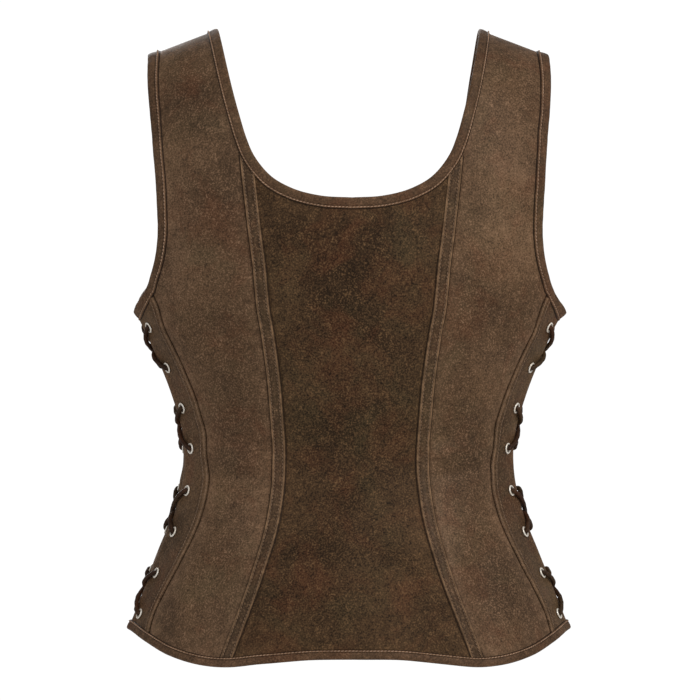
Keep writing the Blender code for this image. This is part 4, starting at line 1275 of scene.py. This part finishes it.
def eyelets(word, side, letter, hand):
    """Eight rings, the section turned about each normal: place + out * h + r * (down cos + beside sin)."""
    angle, level = eyelet_places(side)
    out = normals_on(angle, level)
    spot = points_on(angle, level)
    spot = spot + out * (EYELET_LIFT + creased(mirrored(spot, hand), side))[:, None]
    beside = unit(np.cross(out, (0, 0, 1)))
    down = np.cross(out, beside)
    turn = np.linspace(0, 2 * np.pi, EYELET_TURNS, endpoint=False)
    wheel = down[:, None] * np.cos(turn)[:, None] + beside[:, None] * np.sin(turn)[:, None]
    radius, height = EYELET_SECTION.T
    points = spot[:, None, None] + wheel[:, :, None] * radius[:, None] + out[:, None, None] * height[:, None]
    quads = wound(EYELET_TURNS, len(radius), ring=True)
    size = EYELET_TURNS * len(radius)
    faces = (quads + (np.arange(EYELET_ROWS) * size)[:, None, None]).reshape(-1, 4)
    grid = mirrored(points, hand).reshape(-1, 3)
    if inside_out(grid, faces, mirrored(spot, hand).repeat(size, axis=0)[faces[:, 0]]):
        faces = faces[:, ::-1]
    piece = add(f"eyelets_{word}_{letter}", grid, faces.tolist(), (nickel,), smooth_angle=180)
    return sewn_in(piece, "eyelet_nickel",
                   *[f"eyelet_{word}_{letter}{row + 1}" for row in range(EYELET_ROWS)])


rings = {f"{word}_{letter}": eyelets(word, side, letter, hand)
         for word, side in WORDS.items() for letter, hand in HANDS.items()}


# LACES
# One dark brown cord down each side. Its middle lies inside across the top pair of eyelets, it crosses
# outside and inside by turns, and each end is knotted inside behind the lowest eyelet.
LACE_RADIUS = 1.85 * MM
LACE_STEP = 0.9 * MM
LACE_SIDES = 14
LACE_LEAN = (0, 1, 0.35)
RIBS, RIB_SHARE, RIB_TWIST = 3, 0.05, 900
KNOT_SWELL = 1.9
SHARP_LACE = 80
# Places along a strand, then the heights there over the cloth in millimetres
STRAND_SHARES = (0.07, 0.32, 0.5, 0.68, 0.93)
STRAND_HEIGHTS = {
    ("outside", "under"): (2.3, 1.5, -2.1, 1.5, 2.3),
    ("outside", "over"): (2.4, 1.9, 2.0, 1.9, 2.4),
    ("inside", "under"): (-4.4, -3.7, -2.6, -3.7, -4.4),
    ("inside", "over"): (-4.6, -5.3, -6.4, -5.3, -4.6),
}
THROUGH_HEIGHTS = (1.3, -3.4)
TOP_RUN = ((0.3, -4.2), (0.6, -4.2), (0.85, -4.4))
KNOT_STEPS = ((0, -5.2, 1.0), (0, -6.4, KNOT_SWELL), (1, -9.4, KNOT_SWELL), (2, -10.6, 1.0), (8, -11, 1.0),
              (16, -10.5, 1.0))
cord = hide("lace_cord", (58, 39, 27), (34, 22, 15), (96, 70, 50), 0.5, wear_and_shade=False, depth=0.12, rise=0.35)


def lacing_point(across, drop, height):
    """A point of the lace: distance behind the gap's middle, drop, and height over the cloth in mm."""
    level = level_at(np.zeros(1), np.array([drop]))
    angle = lacing_angle(np.array([across]), level)
    base = points_on(angle, level)
    lift = height * MM + both_sides_creased(base, np.array([2 * across / GAP_WIDTH]))
    return (base + normals_on(angle, level) * lift[:, None])[0]


def lace_half(first_side):
    """Half a lace, from the gap at the top pair of eyelets down to its knot: points and swellings."""
    reach = GAP_WIDTH / 2 + EYELET_FROM_EDGE
    places = [(first_side * (-1) ** row * reach, EYELET_FIRST_DROP + row * EYELET_SPACING)
              for row in range(EYELET_ROWS)]
    top = places[0]
    points = [lacing_point(top[0] * share, top[1], height) for share, height in TOP_RUN]
    for row, (across, drop) in enumerate(places):
        outwards = row % 2 == 0
        points += [lacing_point(across, drop, height) for height in THROUGH_HEIGHTS[::-1 if outwards else 1]]
        if row + 1 < EYELET_ROWS:
            next_across, next_drop = places[row + 1]
            passes = "over" if (first_side > 0) == (row % 4 < 2) else "under"
            heights = STRAND_HEIGHTS["outside" if outwards else "inside", passes]
            points += [lacing_point(across + (next_across - across) * share,
                                    drop + (next_drop - drop) * share, height)
                       for share, height in zip(STRAND_SHARES, heights)]
    swell = [1.0] * len(points)
    across, drop = places[-1]
    for fall, height, size in KNOT_STEPS:
        points.append(lacing_point(across, drop + fall * MM, height))
        swell.append(size)
    return points, swell


def lace(letter, hand):
    """A round section carried along a smooth line through the route, on a frame that leans on a fixed
    direction. Its radius swells at the knots and has slight twisted ribs: 1 + share * cos(ribs * turn +
    twist * length)."""
    back_points, back_swell = lace_half(BACK)
    front_points, front_swell = lace_half(FRONT)
    route = np.array(front_points[::-1] + back_points)
    swell = np.array(front_swell[::-1] + back_swell)
    lengths = run_along(route)
    knots = np.column_stack((lengths, route))
    at = np.linspace(0, lengths[-1], int(lengths[-1] / LACE_STEP))
    line = np.stack([smooth(knots, column, at) for column in (1, 2, 3)], axis=-1)
    size = np.interp(at, lengths, swell)
    ahead = unit(np.gradient(line, axis=0))
    beside = unit(np.cross(ahead, unit(np.array(LACE_LEAN))))
    other = np.cross(ahead, beside)
    turn = np.linspace(0, 2 * np.pi, LACE_SIDES, endpoint=False)
    ribs = 1 + RIB_SHARE * np.cos(turn * RIBS + at[:, None] * RIB_TWIST)
    radius = (LACE_RADIUS * size)[:, None] * ribs
    grid = (line[:, None] + beside[:, None] * (radius * np.cos(turn))[..., None]
            + other[:, None] * (radius * np.sin(turn))[..., None])
    piece = tube(f"lace_{letter}_cord", mirrored(grid, hand), (cord,), sharp=SHARP_LACE)
    return sewn_in(piece, "lace_cord", f"lace_{letter}")


for letter, hand in HANDS.items():
    lace(letter, hand)


# CUT SIZES
# What each centre panel measured flat before it was sewn: width and length of its piece of hide. The loop
# below does nothing with these numbers.
for panel, word, width, length, more in ((centre_back, "back", 0.215, 0.43, [neck_binding, *channels]),
                                         (centre_front, "front", 0.22, 0.41, [])):
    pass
